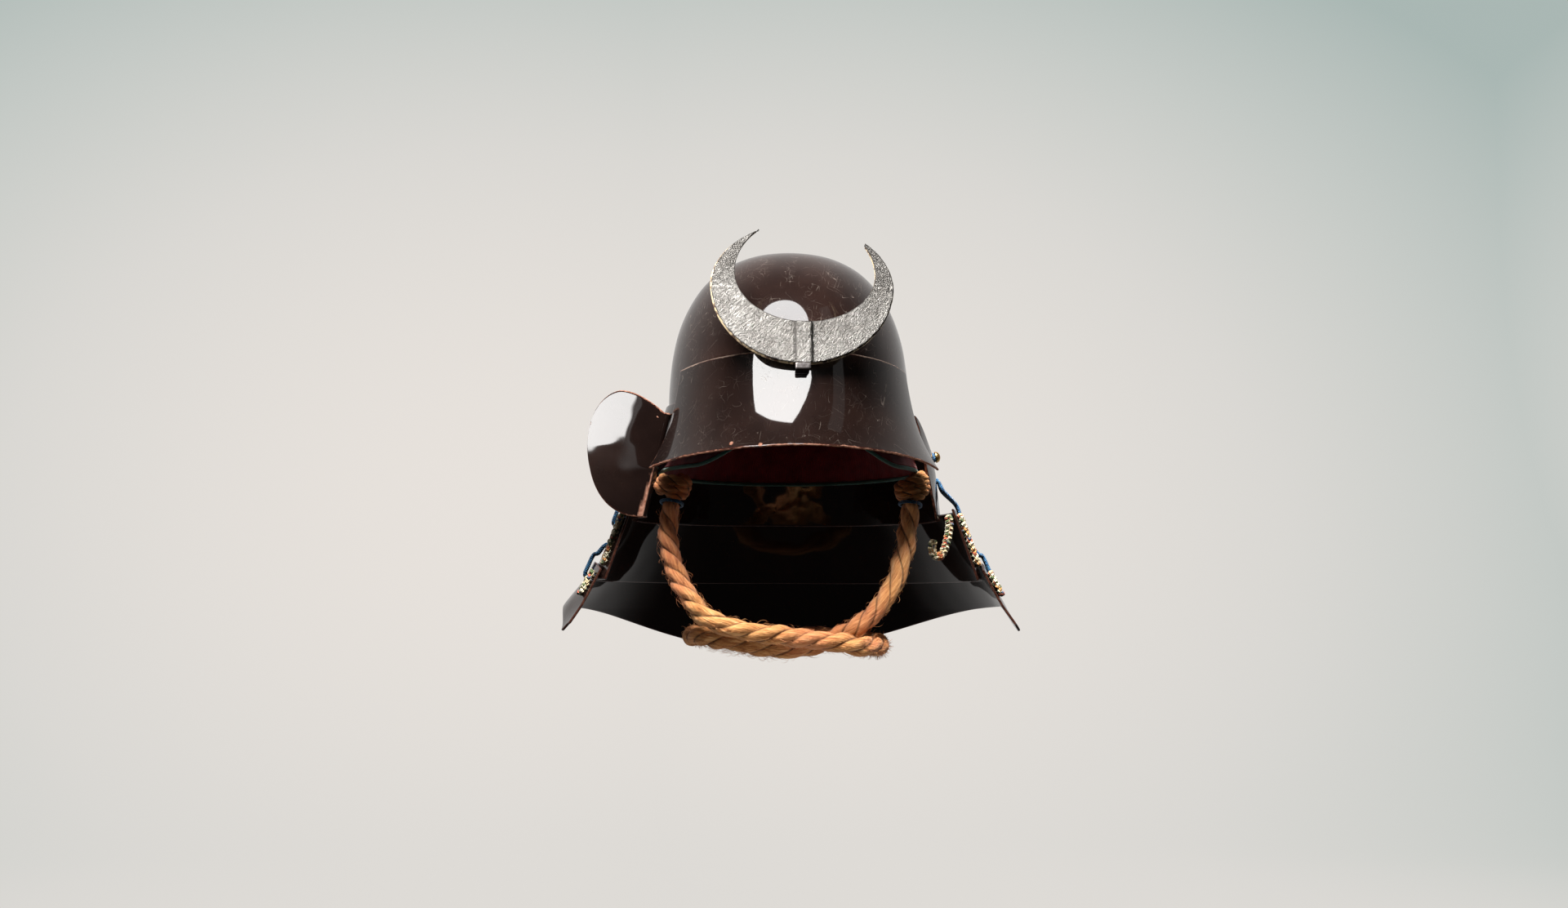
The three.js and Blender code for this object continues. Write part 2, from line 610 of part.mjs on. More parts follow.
const ropeCurve = routeCurve(ROPE_ROUTE);
add('chin_rope', cord(ropeCurve, ROPE.radius, ROPE.sides, ROPE.steps), 'hemp');
add('rope_knot_left', knotGeometry(LEFT_KNOT), 'hemp');
add('rope_knot_right', knotGeometry(RIGHT_KNOT), 'hemp');
add('rope_ring_left', ropeRingGeometry(ropeCurve, 0.004), 'blueSilk');
add('rope_ring_right', ropeRingGeometry(ropeCurve, 0.996), 'blueSilk');

export default helmet;
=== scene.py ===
"""A samurai helmet: lacquered plates, a silvered leather crest, silk lacing and a hemp chin rope.

Shapes are worked out in millimetres as whole arrays and put into meshes in metres. The face
looks along -Y, +Z is up, and the origin is the top of the hollow that rests on the head.
"""
import math

import bmesh
import bpy
import numpy as np
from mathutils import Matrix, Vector


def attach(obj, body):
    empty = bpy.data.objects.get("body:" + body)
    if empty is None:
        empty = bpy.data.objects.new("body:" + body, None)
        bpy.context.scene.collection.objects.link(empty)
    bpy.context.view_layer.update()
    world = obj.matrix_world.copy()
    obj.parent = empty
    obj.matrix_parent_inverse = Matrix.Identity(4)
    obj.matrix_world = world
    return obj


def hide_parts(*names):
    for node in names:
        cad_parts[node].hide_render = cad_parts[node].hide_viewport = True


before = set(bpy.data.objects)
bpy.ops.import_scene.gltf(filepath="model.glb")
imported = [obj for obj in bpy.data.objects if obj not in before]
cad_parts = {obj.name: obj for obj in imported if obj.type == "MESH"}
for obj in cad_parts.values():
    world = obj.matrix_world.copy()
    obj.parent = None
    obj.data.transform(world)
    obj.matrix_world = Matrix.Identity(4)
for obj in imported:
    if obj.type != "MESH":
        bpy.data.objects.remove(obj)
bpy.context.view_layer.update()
MM = 0.001
TAU = 2 * math.pi
HALF_WAY_DOWN = (0, 0, -0.18)  # the helmet's middle, where lamps and panels look, in metres


# ---------------------------------------------------------------- camera

def aim(thing, place, target):
    """Puts a camera or lamp at a place and turns it to look at a target, both in metres."""
    thing.location = place
    direction = np.subtract(target, place)
    thing.rotation_mode = "QUATERNION"
    thing.rotation_quaternion = Vector(direction).to_track_quat("-Z", "Y")


def heading(azimuth, elevation, distance, centre=HALF_WAY_DOWN):
    """The place at an azimuth from straight ahead, towards +X, an elevation and a distance."""
    a, e = math.radians(azimuth), math.radians(elevation)
    way = (math.sin(a) * math.cos(e), -math.cos(a) * math.cos(e), math.sin(e))
    return tuple(c + distance * w for c, w in zip(centre, way))


def make_camera():
    """The camera, 5 degrees to the left of straight ahead and 5 degrees below level."""
    camera = bpy.data.objects.new("Camera", bpy.data.cameras.new("Camera"))
    bpy.context.scene.collection.objects.link(camera)
    camera.data.lens = 54.3
    camera.data.sensor_width = 36
    target = (-0.004, 0, -0.1805)
    aim(camera, heading(-5, -5, 2.2, target), target)
    bpy.context.scene.camera = camera


make_camera()
bpy.context.scene.view_settings.view_transform = "Standard"


# ---------------------------------------------------------------- arrays

def unit(v):
    """Vectors divided by their length."""
    return v / np.maximum(np.linalg.norm(v, axis=-1, keepdims=True), 1e-12)


def lerp(a, b, share):
    """From a to b in a straight line."""
    return a + (b - a) * share


def smooth(x, low, high):
    """0 below low, 1 above high, and 3t^2 - 2t^3 between."""
    t = np.clip((x - low) / (high - low), 0, 1)
    return t * t * (3 - 2 * t)


def place(x, forward, z):
    """Points from x to the right, a distance forward, which is along -Y, and z upwards."""
    return np.stack(np.broadcast_arrays(x, -np.asarray(forward), z), -1).astype(float)


def ripple(points, seed, scale, octaves):
    """Smooth noise near -1 to 1: in each octave, the mean of sines along random directions.

    Each octave's waves are 1.9 times as fine and 0.62 times as high as the last one's.
    """
    waves, finer, lower = 7, 1.9, 0.62
    draw = np.random.default_rng(seed)
    total = np.zeros(points.shape[:-1])
    for octave in range(octaves):
        ways = unit(draw.normal(size=(waves, 3))) * (TAU / scale) * finer ** octave
        phases = draw.uniform(0, TAU, waves)
        total += np.sin(points @ ways.T + phases).mean(-1) * lower ** octave
    return total


def lipped(count, length, lip):
    """Shares from 0 to 1 along a length, even in the middle and crowded within a lip of both ends."""
    near = np.array([0, 0.06, 0.25, 0.6, 1.1, 2.0]) * lip / length
    middle = np.linspace(near[-1], 1 - near[-1], count)[1:-1]
    return np.concatenate([near, middle, 1 - near[::-1]])


def resample(path, count):
    """Points evenly spaced along a path."""
    steps = np.linalg.norm(np.diff(path, axis=0), axis=1)
    along = np.concatenate([[0], np.cumsum(steps)])
    even = np.linspace(0, along[-1], count)
    return np.stack([np.interp(even, along, path[:, k]) for k in range(3)], -1)


def through(points, per_span=24):
    """A curve through points, a cubic on each span, timed by the square root of its chord."""
    p = np.asarray(points, float)
    p = np.concatenate([[2 * p[0] - p[1]], p, [2 * p[-1] - p[-2]]])
    p0, p1, p2, p3 = p[:-3, None], p[1:-2, None], p[2:-1, None], p[3:, None]
    spans = ((p0, p1), (p1, p2), (p2, p3))
    d0, d1, d2 = (np.sqrt(np.linalg.norm(b - a, axis=-1, keepdims=True)) for a, b in spans)
    m1 = ((p1 - p0) / d0 - (p2 - p0) / (d0 + d1) + (p2 - p1) / d1) * d1
    m2 = ((p2 - p1) / d1 - (p3 - p1) / (d1 + d2) + (p3 - p2) / d2) * d1
    t = np.linspace(0, 1, per_span, endpoint=False)[None, :, None]
    curve = (
        (2 * t ** 3 - 3 * t ** 2 + 1) * p1 + (t ** 3 - 2 * t ** 2 + t) * m1
        + (3 * t ** 2 - 2 * t ** 3) * p2 + (t ** 3 - t ** 2) * m2
    )
    return np.concatenate([curve.reshape(-1, 3), p[-2][None]])


def facing(grid, ring):
    """Outward normals: the step down the rows crossed with the step across the columns."""
    across = np.roll(grid, -1, 0) - np.roll(grid, 1, 0) if ring else np.gradient(grid, axis=0)
    normal = np.cross(np.gradient(grid, axis=1), across)
    flat = np.linalg.norm(normal, axis=-1) < 1e-9
    normal[flat] = (0, 0, 1)
    return unit(normal)


def from_ends(grid, axis):
    """Distances along the rows or columns from their first place and from their last."""
    steps = np.linalg.norm(np.diff(grid, axis=axis), axis=-1)
    pad = [(1, 0), (0, 0)] if axis == 0 else [(0, 0), (1, 0)]
    run = np.cumsum(np.pad(steps, pad), axis=axis)
    return run, np.take(run, [-1], axis=axis) - run


# ---------------------------------------------------------------- meshes

def new_piece(name, points, quads, fields, flow):
    """A smooth mesh object, with one attribute for each field and a UV map called Flow."""
    used, quads = np.unique(quads, return_inverse=True)
    quads = quads.reshape(-1, 4)
    mesh = bpy.data.meshes.new(name)
    mesh.from_pydata((points[used] * MM).tolist(), [], quads.tolist())
    for field, values in fields.items():
        attribute = mesh.attributes.new(field, "FLOAT", "POINT")
        attribute.data.foreach_set("value", values[used].astype(np.float32))
    layer = mesh.uv_layers.new(name="Flow")
    layer.data.foreach_set("uv", flow[used][quads.ravel()].astype(np.float32).ravel())
    mesh.polygons.foreach_set("use_smooth", np.ones(len(quads), bool))
    joined = bmesh.new()
    joined.from_mesh(mesh)
    bmesh.ops.remove_doubles(joined, verts=joined.verts, dist=2e-6)
    bmesh.ops.dissolve_degenerate(joined, edges=joined.edges, dist=1e-7)
    joined.to_mesh(mesh)
    joined.free()
    piece = bpy.data.objects.new(name, mesh)
    bpy.context.scene.collection.objects.link(piece)
    return piece


def quads_of(index):
    """Quads over a grid of vertex numbers, or over many, facing out by the rule of facing()."""
    this, following = index[..., :-1, :], index[..., 1:, :]
    corners = (this[..., :-1], this[..., 1:], following[..., 1:], following[..., :-1])
    return np.stack(corners, -1).reshape(-1, 4)


def numbered(grid):
    """The vertex number of each place on a grid of points."""
    return np.arange(grid[..., 0].size).reshape(grid.shape[:-1])


def wall(name, grid, thickness, ring=False, pole=False, fields=None):
    """A thin closed wall behind an outer face.

    Both faces stand off the middle surface by t/2 sqrt(1 - (1 - d/r)^2), where d is the distance
    from the nearest free edge and r is half the thickness, so that the edges are half round.
    """
    normal = facing(grid, ring)
    fields = dict(fields or {})
    if ring:
        grid, normal = (np.concatenate([a, a[:1]]) for a in (grid, normal))
        fields = {k: np.concatenate([v, v[:1]]) for k, v in fields.items()}
    first, last = from_ends(grid, 0)
    top, bottom = from_ends(grid, 1)
    edge = bottom.copy()
    if not pole:
        edge = np.minimum(edge, top)
    if not ring:
        edge = np.minimum(edge, np.minimum(first, last))
    radius = thickness / 2
    swell = radius * np.sqrt(1 - (1 - np.clip(edge / radius, 0, 1)) ** 2)
    middle = grid - normal * radius
    outer, inner = (middle + normal * (s * swell)[..., None] for s in (1, -1))
    front = numbered(grid)
    back = front + edge.size
    back[:, -1] = front[:, -1]
    if not pole:
        back[:, 0] = front[:, 0]
    if not ring:
        back[0], back[-1] = front[0], front[-1]
    quads = np.concatenate([quads_of(front), quads_of(back)[:, ::-1]])
    fields["edge"] = edge
    fields["inside"] = np.zeros_like(edge)
    twice = {k: np.concatenate([v.ravel(), v.ravel() + (k == "inside")]) for k, v in fields.items()}
    flow = np.stack([first, top], -1).reshape(-1, 2) * MM
    points = np.concatenate([outer.reshape(-1, 3), inner.reshape(-1, 3)])
    return new_piece(name, points, quads, twice, np.concatenate([flow, flow]))


def section_frame(path, hint):
    """Unit side and up vectors square to a path: the side leans towards a hinted direction."""
    along = unit(np.gradient(path, axis=0))
    hint = np.broadcast_to(np.asarray(hint, float), path.shape)
    side = unit(hint - (hint * along).sum(-1, keepdims=True) * along)
    return side, np.cross(along, side)


def tube(name, path, radius, hint, across=1.0, sides=12, fields=None, girth=1.0):
    """A round-ended tube along a path. The radius may be an array over path and turn.

    Near its ends the radius is drawn in by sqrt(1 - (1 - d/r)^2), with d the distance from the end.
    The flow runs along it in metres, and once round it makes up the girth.
    """
    side, up = section_frame(path, hint)
    turn = np.linspace(0, TAU, sides + 1)
    radius = np.broadcast_to(np.asarray(radius, float), (len(path), sides + 1))
    first, last = from_ends(path[:, None], 0)
    end = np.minimum(first, last)
    mean = radius.mean()
    drawn = np.sqrt(1 - (1 - np.clip(end / mean, 0, 1)) ** 2)
    reach = (radius * drawn)[..., None]
    out = np.cos(turn)[:, None] * side[:, None] + across * np.sin(turn)[:, None] * up[:, None]
    grid = path[:, None] + reach * out
    flow = np.stack(np.broadcast_arrays(first * MM, turn[None] / TAU * girth), -1).reshape(-1, 2)
    extra = {k: np.broadcast_to(v, grid.shape[:2]).ravel() for k, v in (fields or {}).items()}
    return new_piece(name, grid.reshape(-1, 3), quads_of(numbered(grid)), extra, flow)


def grid_piece(name, grid):
    """A closed piece from one grid whose ends meet."""
    flow = np.stack([from_ends(grid, 0)[0], from_ends(grid, 1)[0]], -1).reshape(-1, 2) * MM
    return new_piece(name, grid.reshape(-1, 3), quads_of(numbered(grid)), {}, flow)


def rounded_block(size, roundness):
    """A superellipsoid: each of its cosines and sines is raised to a small power, keeping its sign."""
    up = np.linspace(-math.pi / 2, math.pi / 2, 41)[None]
    turn = np.linspace(0, TAU, 82)[:, None]

    def power(v):
        return np.sign(v) * np.abs(v) ** roundness

    half = np.array(size) / 2
    out = power(np.cos(up))
    x, y = half[0] * out * power(np.cos(turn)), half[1] * out * power(np.sin(turn))
    return np.stack(np.broadcast_arrays(x, y, half[2] * power(np.sin(up))), -1)[:, ::-1]


def lathe(profile, middle, axis, hint):
    """A closed turned shape: radius and height pairs spun about an axis."""
    axis = unit(np.asarray(axis, float))
    side = unit(hint - np.dot(hint, axis) * axis)
    up = np.cross(axis, side)
    turn = np.linspace(0, TAU, 41)[:, None, None]
    profile = np.asarray(profile, float)[None, ::-1]
    radius, height = profile[..., :1], profile[..., 1:]
    return middle + radius * (np.cos(turn) * side + np.sin(turn) * up) + height * axis


def merged(name, parts):
    """Several pieces joined into one."""
    with bpy.context.temp_override(active_object=parts[0], selected_editable_objects=parts):
        bpy.ops.object.join()
    parts[0].name = name
    return parts[0]


def even_ends(path, radius, count):
    """A path evenly resampled, with rows crowded within a radius of both ends for its round ends."""
    length = np.linalg.norm(np.diff(path, axis=0), axis=1).sum()
    shares = lipped(count, length, radius)
    fine = resample(path, 4000)
    even = np.linspace(0, 1, len(fine))
    return np.stack([np.interp(shares, even, fine[:, k]) for k in range(3)], -1)


# ---------------------------------------------------------------- finishes

class Signal:
    """A socket in a finish. Arithmetic on it adds Math nodes."""

    def __init__(self, finish, socket):
        self.finish, self.socket = finish, socket

    def math(self, operation, *others, swap=False):
        values = (*others, self) if swap else (self, *others)
        return self.finish.node("ShaderNodeMath", {"operation": operation}, dict(enumerate(values)))

    def __add__(self, other):
        return self.math("ADD", other)

    def __sub__(self, other):
        return self.math("SUBTRACT", other)

    def __rsub__(self, other):
        return self.math("SUBTRACT", other, swap=True)

    def __mul__(self, other):
        return self.math("MULTIPLY", other)

    __radd__, __rmul__ = __add__, __mul__

    def __abs__(self):
        return self.math("ABSOLUTE")

    def least(self, other):
        return self.math("MINIMUM", other)

    def most(self, other):
        return self.math("MAXIMUM", other)

    def floor(self):
        return self.math("FLOOR")

    def sine(self):
        return self.math("SINE")

    def step(self, low, high):
        """0 below low and 1 above high, smooth between; turned round where low is above high."""
        return self.finish.node("ShaderNodeMapRange", {"interpolation_type": "SMOOTHSTEP"},
                                {"Value": self, "From Min": low, "From Max": high})


class Finish:
    """A material: one node method, and a few names for the nodes used most."""

    def __init__(self, name):
        self.material = bpy.data.materials.new(name)
        self.material.use_nodes = True
        self.tree = self.material.node_tree
        self.tree.nodes.clear()
        self.place = self.node("ShaderNodeTexCoord", out="Object")

    def node(self, kind, settings=None, values=None, out=0):
        """Any node: its settings first, then the values or links of its inputs."""
        made = self.tree.nodes.new(kind)
        for name, value in (settings or {}).items():
            if name == "stops":
                while len(made.color_ramp.elements) < len(value):
                    made.color_ramp.elements.new(0.5)
                for element, (position, colour) in zip(made.color_ramp.elements, value):
                    element.position, element.color = position, (*colour, 1)
            elif name == "interpolation":
                made.color_ramp.interpolation = value
            else:
                setattr(made, name, value)
        for name, value in (values or {}).items():
            socket = made.inputs[name]
            if isinstance(value, Signal):
                self.tree.links.new(value.socket, socket)
            elif isinstance(value, tuple) and len(value) == 3 and socket.type == "RGBA":
                socket.default_value = (*value, 1)
            else:
                socket.default_value = value
        return Signal(self, made.outputs[out])

    def field(self, name):
        """A number kept on the piece's points."""
        return self.node("ShaderNodeAttribute", {"attribute_name": name}, out="Fac")

    def flow(self, length=1.0, width=1.0):
        """The piece's own UV map, scaled."""
        uv = self.node("ShaderNodeUVMap", {"uv_map": "Flow"})
        return self.node("ShaderNodeMapping", {}, {"Vector": uv, "Scale": (length, width, 1.0)})

    def turned(self, scale, angles, source=None, shift=(0, 0, 0)):
        """Coordinates scaled, turned by angles in degrees and shifted."""
        values = {"Vector": source or self.place, "Scale": scale, "Location": shift}
        return self.node("ShaderNodeMapping", {}, {**values, "Rotation": tuple(map(math.radians, angles))})

    def noise(self, scale, detail, rough, twist=0.0, source=None):
        """Soft noise, about 0.5 in the middle. Detail is its number of octaves."""
        values = {"Vector": source or self.place, "Scale": scale, "Detail": detail, "Roughness": rough}
        return self.node("ShaderNodeTexNoise", {}, {**values, "Distortion": twist}, out="Fac")

    def spots(self, scale):
        """The distance to the nearest of some scattered spots."""
        return self.node("ShaderNodeTexVoronoi", {"feature": "F1"}, {"Vector": self.place, "Scale": scale})

    def parts(self, vector, k):
        """One of X, Y and Z of a vector."""
        return self.node("ShaderNodeSeparateXYZ", {}, {"Vector": vector}, out=k)

    def mix(self, share, a, b):
        """From colour a to colour b."""
        return self.node("ShaderNodeMix", {"data_type": "RGBA"}, {0: share, 6: a, 7: b}, out=2)

    def ramp(self, share, stops, interpolation="LINEAR"):
        """A colour from stops, each a position and a colour."""
        settings = {"interpolation": interpolation, "stops": stops}
        return self.node("ShaderNodeValToRGB", settings, {"Fac": share}, out="Color")

    def bump(self, height, distance, strength, under=None):
        """A bump: heights of 0 to 1 times a distance in metres, over another bump where one is given."""
        values = {"Height": height, "Distance": distance, "Strength": strength}
        if under is not None:
            values["Normal"] = under
        return self.node("ShaderNodeBump", {}, values, out="Normal")

    def shown(self, shader):
        """Puts a shader on the material's surface."""
        surface = self.tree.nodes.new("ShaderNodeOutputMaterial")
        self.tree.links.new(shader.socket, surface.inputs["Surface"])
        return self.material

    def glow(self, colour, strength):
        """A surface that only glows."""
        values = {"Color": colour, "Strength": strength}
        return self.shown(self.node("ShaderNodeEmission", {}, values, out="Emission"))

    def done(self, colour, roughness, normal, metallic=0.0, coat=0.0, coat_roughness=0.05, sheen=0.0,
             specular=0.5):
        """The finished surface."""
        values = {"Base Color": colour, "Roughness": roughness, "Metallic": metallic, "Coat Weight": coat,
                  "Coat Roughness": coat_roughness, "Sheen Weight": sheen, "Sheen Roughness": 0.4,
                  "Specular IOR Level": specular, "Normal": normal}
        return self.shown(self.node("ShaderNodeBsdfPrincipled", {}, values, out="BSDF"))


SCRATCH_ANGLES = ((20, 35, 50), (70, 10, -35), (-25, 60, 15), (5, -50, 80), (48, -12, 110), (12, 75, 140),
                  (-60, 20, -80))


def scratches(finish, angles, seed):
    """Thin straight strokes: a narrow band about the middle of a stretched noise, broken by another."""
    turned = finish.turned((1, 1, 1), angles)
    stretched = finish.turned((1, 38, 38), (0, 0, 0), turned, (0.3, 0.7 * seed, 0.4))
    stroke = abs(finish.noise(2.3 + 0.2 * seed, 0.0, 0.4, 0.0, stretched) - 0.5).step(0.0042, 0.0)
    return stroke * finish.noise(31 + 7 * seed, 1.0, 0.6).step(0.56, 0.68)


def lacquer_finish():
    """Old dark brown lacquer: a clear gloss, scratched and dusty, worn to red and copper at its edges."""
    f = Finish("old_lacquer")
    names = ("edge", "worn", "raw", "chip", "pale", "inside")
    edge, worn, raw, chip, pale, inside = (f.field(name) for name in names)
    cloud, speck = f.noise(9, 5, 0.6), f.noise(900, 2, 0.7)
    ground = f.mix(cloud.step(0.3, 0.75), (0.011, 0.0058, 0.0048), (0.030, 0.0150, 0.0115))
    dust = f.noise(60, 6, 0.75).step(0.55, 0.86) * 0.20 * (1 - inside)
    ground = f.mix(dust, ground, (0.13, 0.11, 0.10))
    marks = scratches(f, SCRATCH_ANGLES[0], 1)
    for seed, angles in enumerate(SCRATCH_ANGLES[1:], 2):
        marks = marks.most(scratches(f, angles, seed))
    dots = f.spots(420).step(0.12, 0.05) * f.noise(40, 2, 0.5).step(0.6, 0.68)
    marks = marks.most(dots) * (1 - inside)
    ground = f.mix(marks * 0.34, ground, (0.46, 0.38, 0.32))
    fray = edge + (f.noise(420, 4, 0.7) - 0.5) * 2.4 + (f.noise(70, 2, 0.6) - 0.5) * 3.2
    bare = fray.step(1.05, 0.65) * worn
    bare = bare.most((chip + (f.noise(330, 4, 0.7) - 0.5) * 0.55).step(0.52, 0.6)).most(raw)
    rim = edge.step(1.9, 0.9) * (1 - bare)
    ground = f.mix(rim * 0.9, ground, (0.062, 0.019, 0.013))
    coppers = [(0.3, (0.055, 0.020, 0.014)), (0.5, (0.30, 0.115, 0.070)), (0.72, (0.62, 0.32, 0.22))]
    copper = f.ramp(f.noise(240, 4, 0.7) + (worn - 0.7) * 0.35, coppers)
    ground = f.mix(bare, ground, copper)
    # A pale line painted along the brow plate's top edge: a painted highlight on that edge.
    tan = (fray.step(1.5, 0.6) * pale) * 0.85
    ground = f.mix(tan, ground, (0.34, 0.25, 0.20))
    ground = f.mix(speck.step(0.73, 0.78) * 0.25, ground, (0.25, 0.2, 0.17))
    # The worn places and the painted highlight, both left rougher and without the clear coat.
    bare_and_highlit = bare.most(tan)
    rough = 0.34 + f.noise(24, 5, 0.65, 0.6) * 0.12 + dust * 0.4 + bare_and_highlit * 0.25
    waves = f.bump(f.noise(34, 2, 0.5), 0.0012, 0.06)
    peel = f.bump(f.noise(420, 2, 0.5) * 0.10 + bare_and_highlit * -0.8, 0.00035, 0.5, waves)
    coat = (1 - bare_and_highlit) * (0.92 - dust * 0.6 - marks * 0.25)
    return f.done(ground, rough, peel, coat=coat, coat_roughness=0.045, specular=0.012)


def silver_leather_finish():
    """Silvered leather: a net of fine slanting wrinkles with painted shade in them, darker towards its edge,
    and with painted shade in the gutter beside the rib.
    """
    f = Finish("silver_leather")
    edge, groove = f.field("edge"), f.field("groove")
    grain = f.turned((1, 1, 1), (0, 38, 0))
    slanted = f.turned((0.3, 1, 1), (0, 0, 0), grain)
    coarse = abs(f.noise(300, 3, 0.62, 0.9, slanted) - 0.5)
    fine = abs(f.noise(700, 3, 0.65, 0.6, slanted) - 0.5)
    cloud = f.noise(30, 4, 0.6)
    # These fine wrinkles are painted darker in the tone below: painted shade in them.
    painted_crease_shade = coarse.step(0.09, 0.0) * 0.6 + fine.step(0.10, 0.0) * 0.4
    silvers = [(0.30, (0.180, 0.168, 0.155)), (0.60, (0.360, 0.345, 0.325)), (0.85, (0.52, 0.50, 0.475))]
    tone = f.ramp(cloud * 0.7 + (1 - painted_crease_shade) * 0.3, silvers)
    # Darker towards the edge, plus painted shade in the gutter beside the rib, carried by the rib field.
    darker_edge_and_rib_shade = (edge + (f.noise(160, 3, 0.6) - 0.5) * 3).step(1.0, 0.2).most(groove)
    tone = f.mix(darker_edge_and_rib_shade * 0.85, tone, (0.022, 0.017, 0.014))
    rough = 0.36 + f.noise(90, 3, 0.6) * 0.14 + darker_edge_and_rib_shade * 0.2
    height = coarse.step(0.0, 0.10) * 0.6 + fine.step(0.0, 0.12) * 0.35 + cloud * 0.5
    return f.done(tone, rough, f.bump(height, 0.0010, 0.9), metallic=0.9 - darker_edge_and_rib_shade * 0.5)


def gilt_finish():
    """Worn gilding over a dark board."""
    f = Finish("worn_gilt")
    chips = f.noise(190, 5, 0.7).step(0.43, 0.51)
    tone = f.mix(f.noise(60, 3, 0.6), (0.58, 0.40, 0.20), (0.80, 0.67, 0.46))
    tone = f.mix(chips, (0.085, 0.045, 0.026), tone)
    return f.done(tone, 0.62 - chips * 0.22, f.bump(chips, 0.0004, 0.6), metallic=chips * 0.2)


def metal_finish(name, dark, light, roughness, metallic=1.0):
    """Old metal, mottled between two tones, with fine pits."""
    f = Finish(name)
    mottle, pits = f.noise(240, 5, 0.65), f.noise(1200, 2, 0.6)
    tone = f.mix(mottle.step(0.32, 0.68), dark, light)
    height = mottle + pits * 0.4
    return f.done(tone, roughness + mottle * 0.2, f.bump(height, 0.0004, 0.5), metallic=metallic)


def cloth_finish(name, dark, light):
    """Plain woven cloth of 1300 threads to the metre: the product of two crossed sines of the flow."""
    threads_per_metre = 1300
    f = Finish(name)
    flow = f.flow(threads_per_metre * math.pi, threads_per_metre * math.pi)
    warp, weft = f.parts(flow, "X").sine(), f.parts(flow, "Y").sine()
    threads = (warp * weft) * 0.5 + 0.5
    cloud = f.noise(70, 4, 0.6)
    tone = f.mix((threads * 0.5 + cloud * 0.6).step(0.15, 0.95), dark, light)
    return f.done(tone, 0.92, f.bump(threads + cloud * 0.4, 0.0005, 0.8), sheen=0.3, specular=0.2)


def stitches(f, run, round_it, family):
    """A random number for each stitch of a braid."""
    stitch = f.node("ShaderNodeCombineXYZ", {}, {"X": run.floor(), "Y": round_it.floor(), "Z": family})
    return f.node("ShaderNodeTexWhiteNoise", {"noise_dimensions": "3D"}, {"Vector": stitch}, out="Value")


def chevrons(f, length, width):
    """A round braid: slanting stitches that meet in a V, from the flow along it and round it."""
    flow = f.flow(length, width)
    along, round_it = f.parts(flow, "X"), f.parts(flow, "Y")
    vee = abs(round_it - round_it.floor() - 0.5)
    run = along + vee * 1.6
    return run, round_it, abs(run - run.floor() - 0.5) * 2


def silk_finish():
    """Blue braided silk: stitches in a V, each with its own faded colour, and painted shade between the
    stitches.
    """
    f = Finish("blue_silk")
    run, round_it, arch = chevrons(f, 620, 3.0)
    shade = stitches(f, run, round_it, 0.0)
    blues = [(0.2, (0.006, 0.045, 0.115)), (0.55, (0.015, 0.13, 0.30)), (0.95, (0.09, 0.29, 0.46))]
    tone = f.ramp(shade * 0.55 + f.noise(120, 3, 0.6) * 0.5, blues)
    # Painted shade in the crevices between the stitches.
    tone = f.mix(arch.step(0.62, 1.0) * 0.8, tone, (0.003, 0.018, 0.045))
    fibre = f.noise(2600, 2, 0.6)
    return f.done(tone, 0.62, f.bump((1 - arch) + fibre * 0.35, 0.0006, 0.9), sheen=0.35, specular=0.35)


def flecked_finish():
    """Cream braid with stitches of green, red, orange and blue silk among the pale ones, and painted shade
    between the stitches.
    """
    f = Finish("flecked_braid")
    run, round_it, arch = chevrons(f, 520, 3.0)
    pick = stitches(f, run, round_it, 3.0)
    cream, pale, orange = (0.62, 0.50, 0.28), (0.78, 0.72, 0.52), (0.66, 0.27, 0.07)
    green, red, blue = (0.045, 0.115, 0.035), (0.50, 0.075, 0.035), (0.012, 0.07, 0.16)
    silks = [(0.0, cream), (0.2, green), (0.36, pale), (0.55, red), (0.64, cream), (0.74, blue),
             (0.82, orange), (0.88, pale)]
    tone = f.ramp(pick, silks, "CONSTANT")
    tone = f.mix(f.noise(300, 3, 0.6) * 0.35, tone, (0.30, 0.20, 0.10))
    # Painted shade in the crevices between the stitches.
    tone = f.mix(arch.step(0.6, 1.0) * 0.75, tone, (0.055, 0.035, 0.02))
    height = (1 - arch) + f.noise(2200, 2, 0.6) * 0.4
    return f.done(tone, 0.75, f.bump(height, 0.0007, 0.9), sheen=0.25, specular=0.3)


def hemp_finish():
    """Twisted plant fibre: fine threads along each strand, straw to brown, with painted shade down in the
    lay between the strands.
    """
    f = Finish("twisted_hemp")
    lay = f.field("lay")
    threads = f.noise(1.0, 5, 0.7, 0.25, f.flow(70, 1500))
    bundles = f.noise(1.0, 3, 0.6, 0.4, f.flow(45, 330))
    broad = f.noise(26, 3, 0.6)
    straws = [(0.35, (0.14, 0.042, 0.013)), (0.45, (0.46, 0.175, 0.055)), (0.55, (0.74, 0.370, 0.135)),
              (0.68, (0.98, 0.72, 0.42))]
    tone = f.ramp(threads * 0.45 + bundles * 0.35 + broad * 0.2, straws)
    blush = f.noise(13, 2, 0.5).step(0.46, 0.64) * 0.5
    tone = f.mix(blush, tone, (0.56, 0.17, 0.085))
    # Painted shade down in the lay, between the strands.
    tone = f.mix(lay.step(0.45, 1.0) * 0.9, tone, (0.040, 0.014, 0.006))
    height = threads * 0.6 + bundles
    return f.done(tone, 0.9, f.bump(height, 0.0016, 1.0), sheen=0.15, specular=0.2)


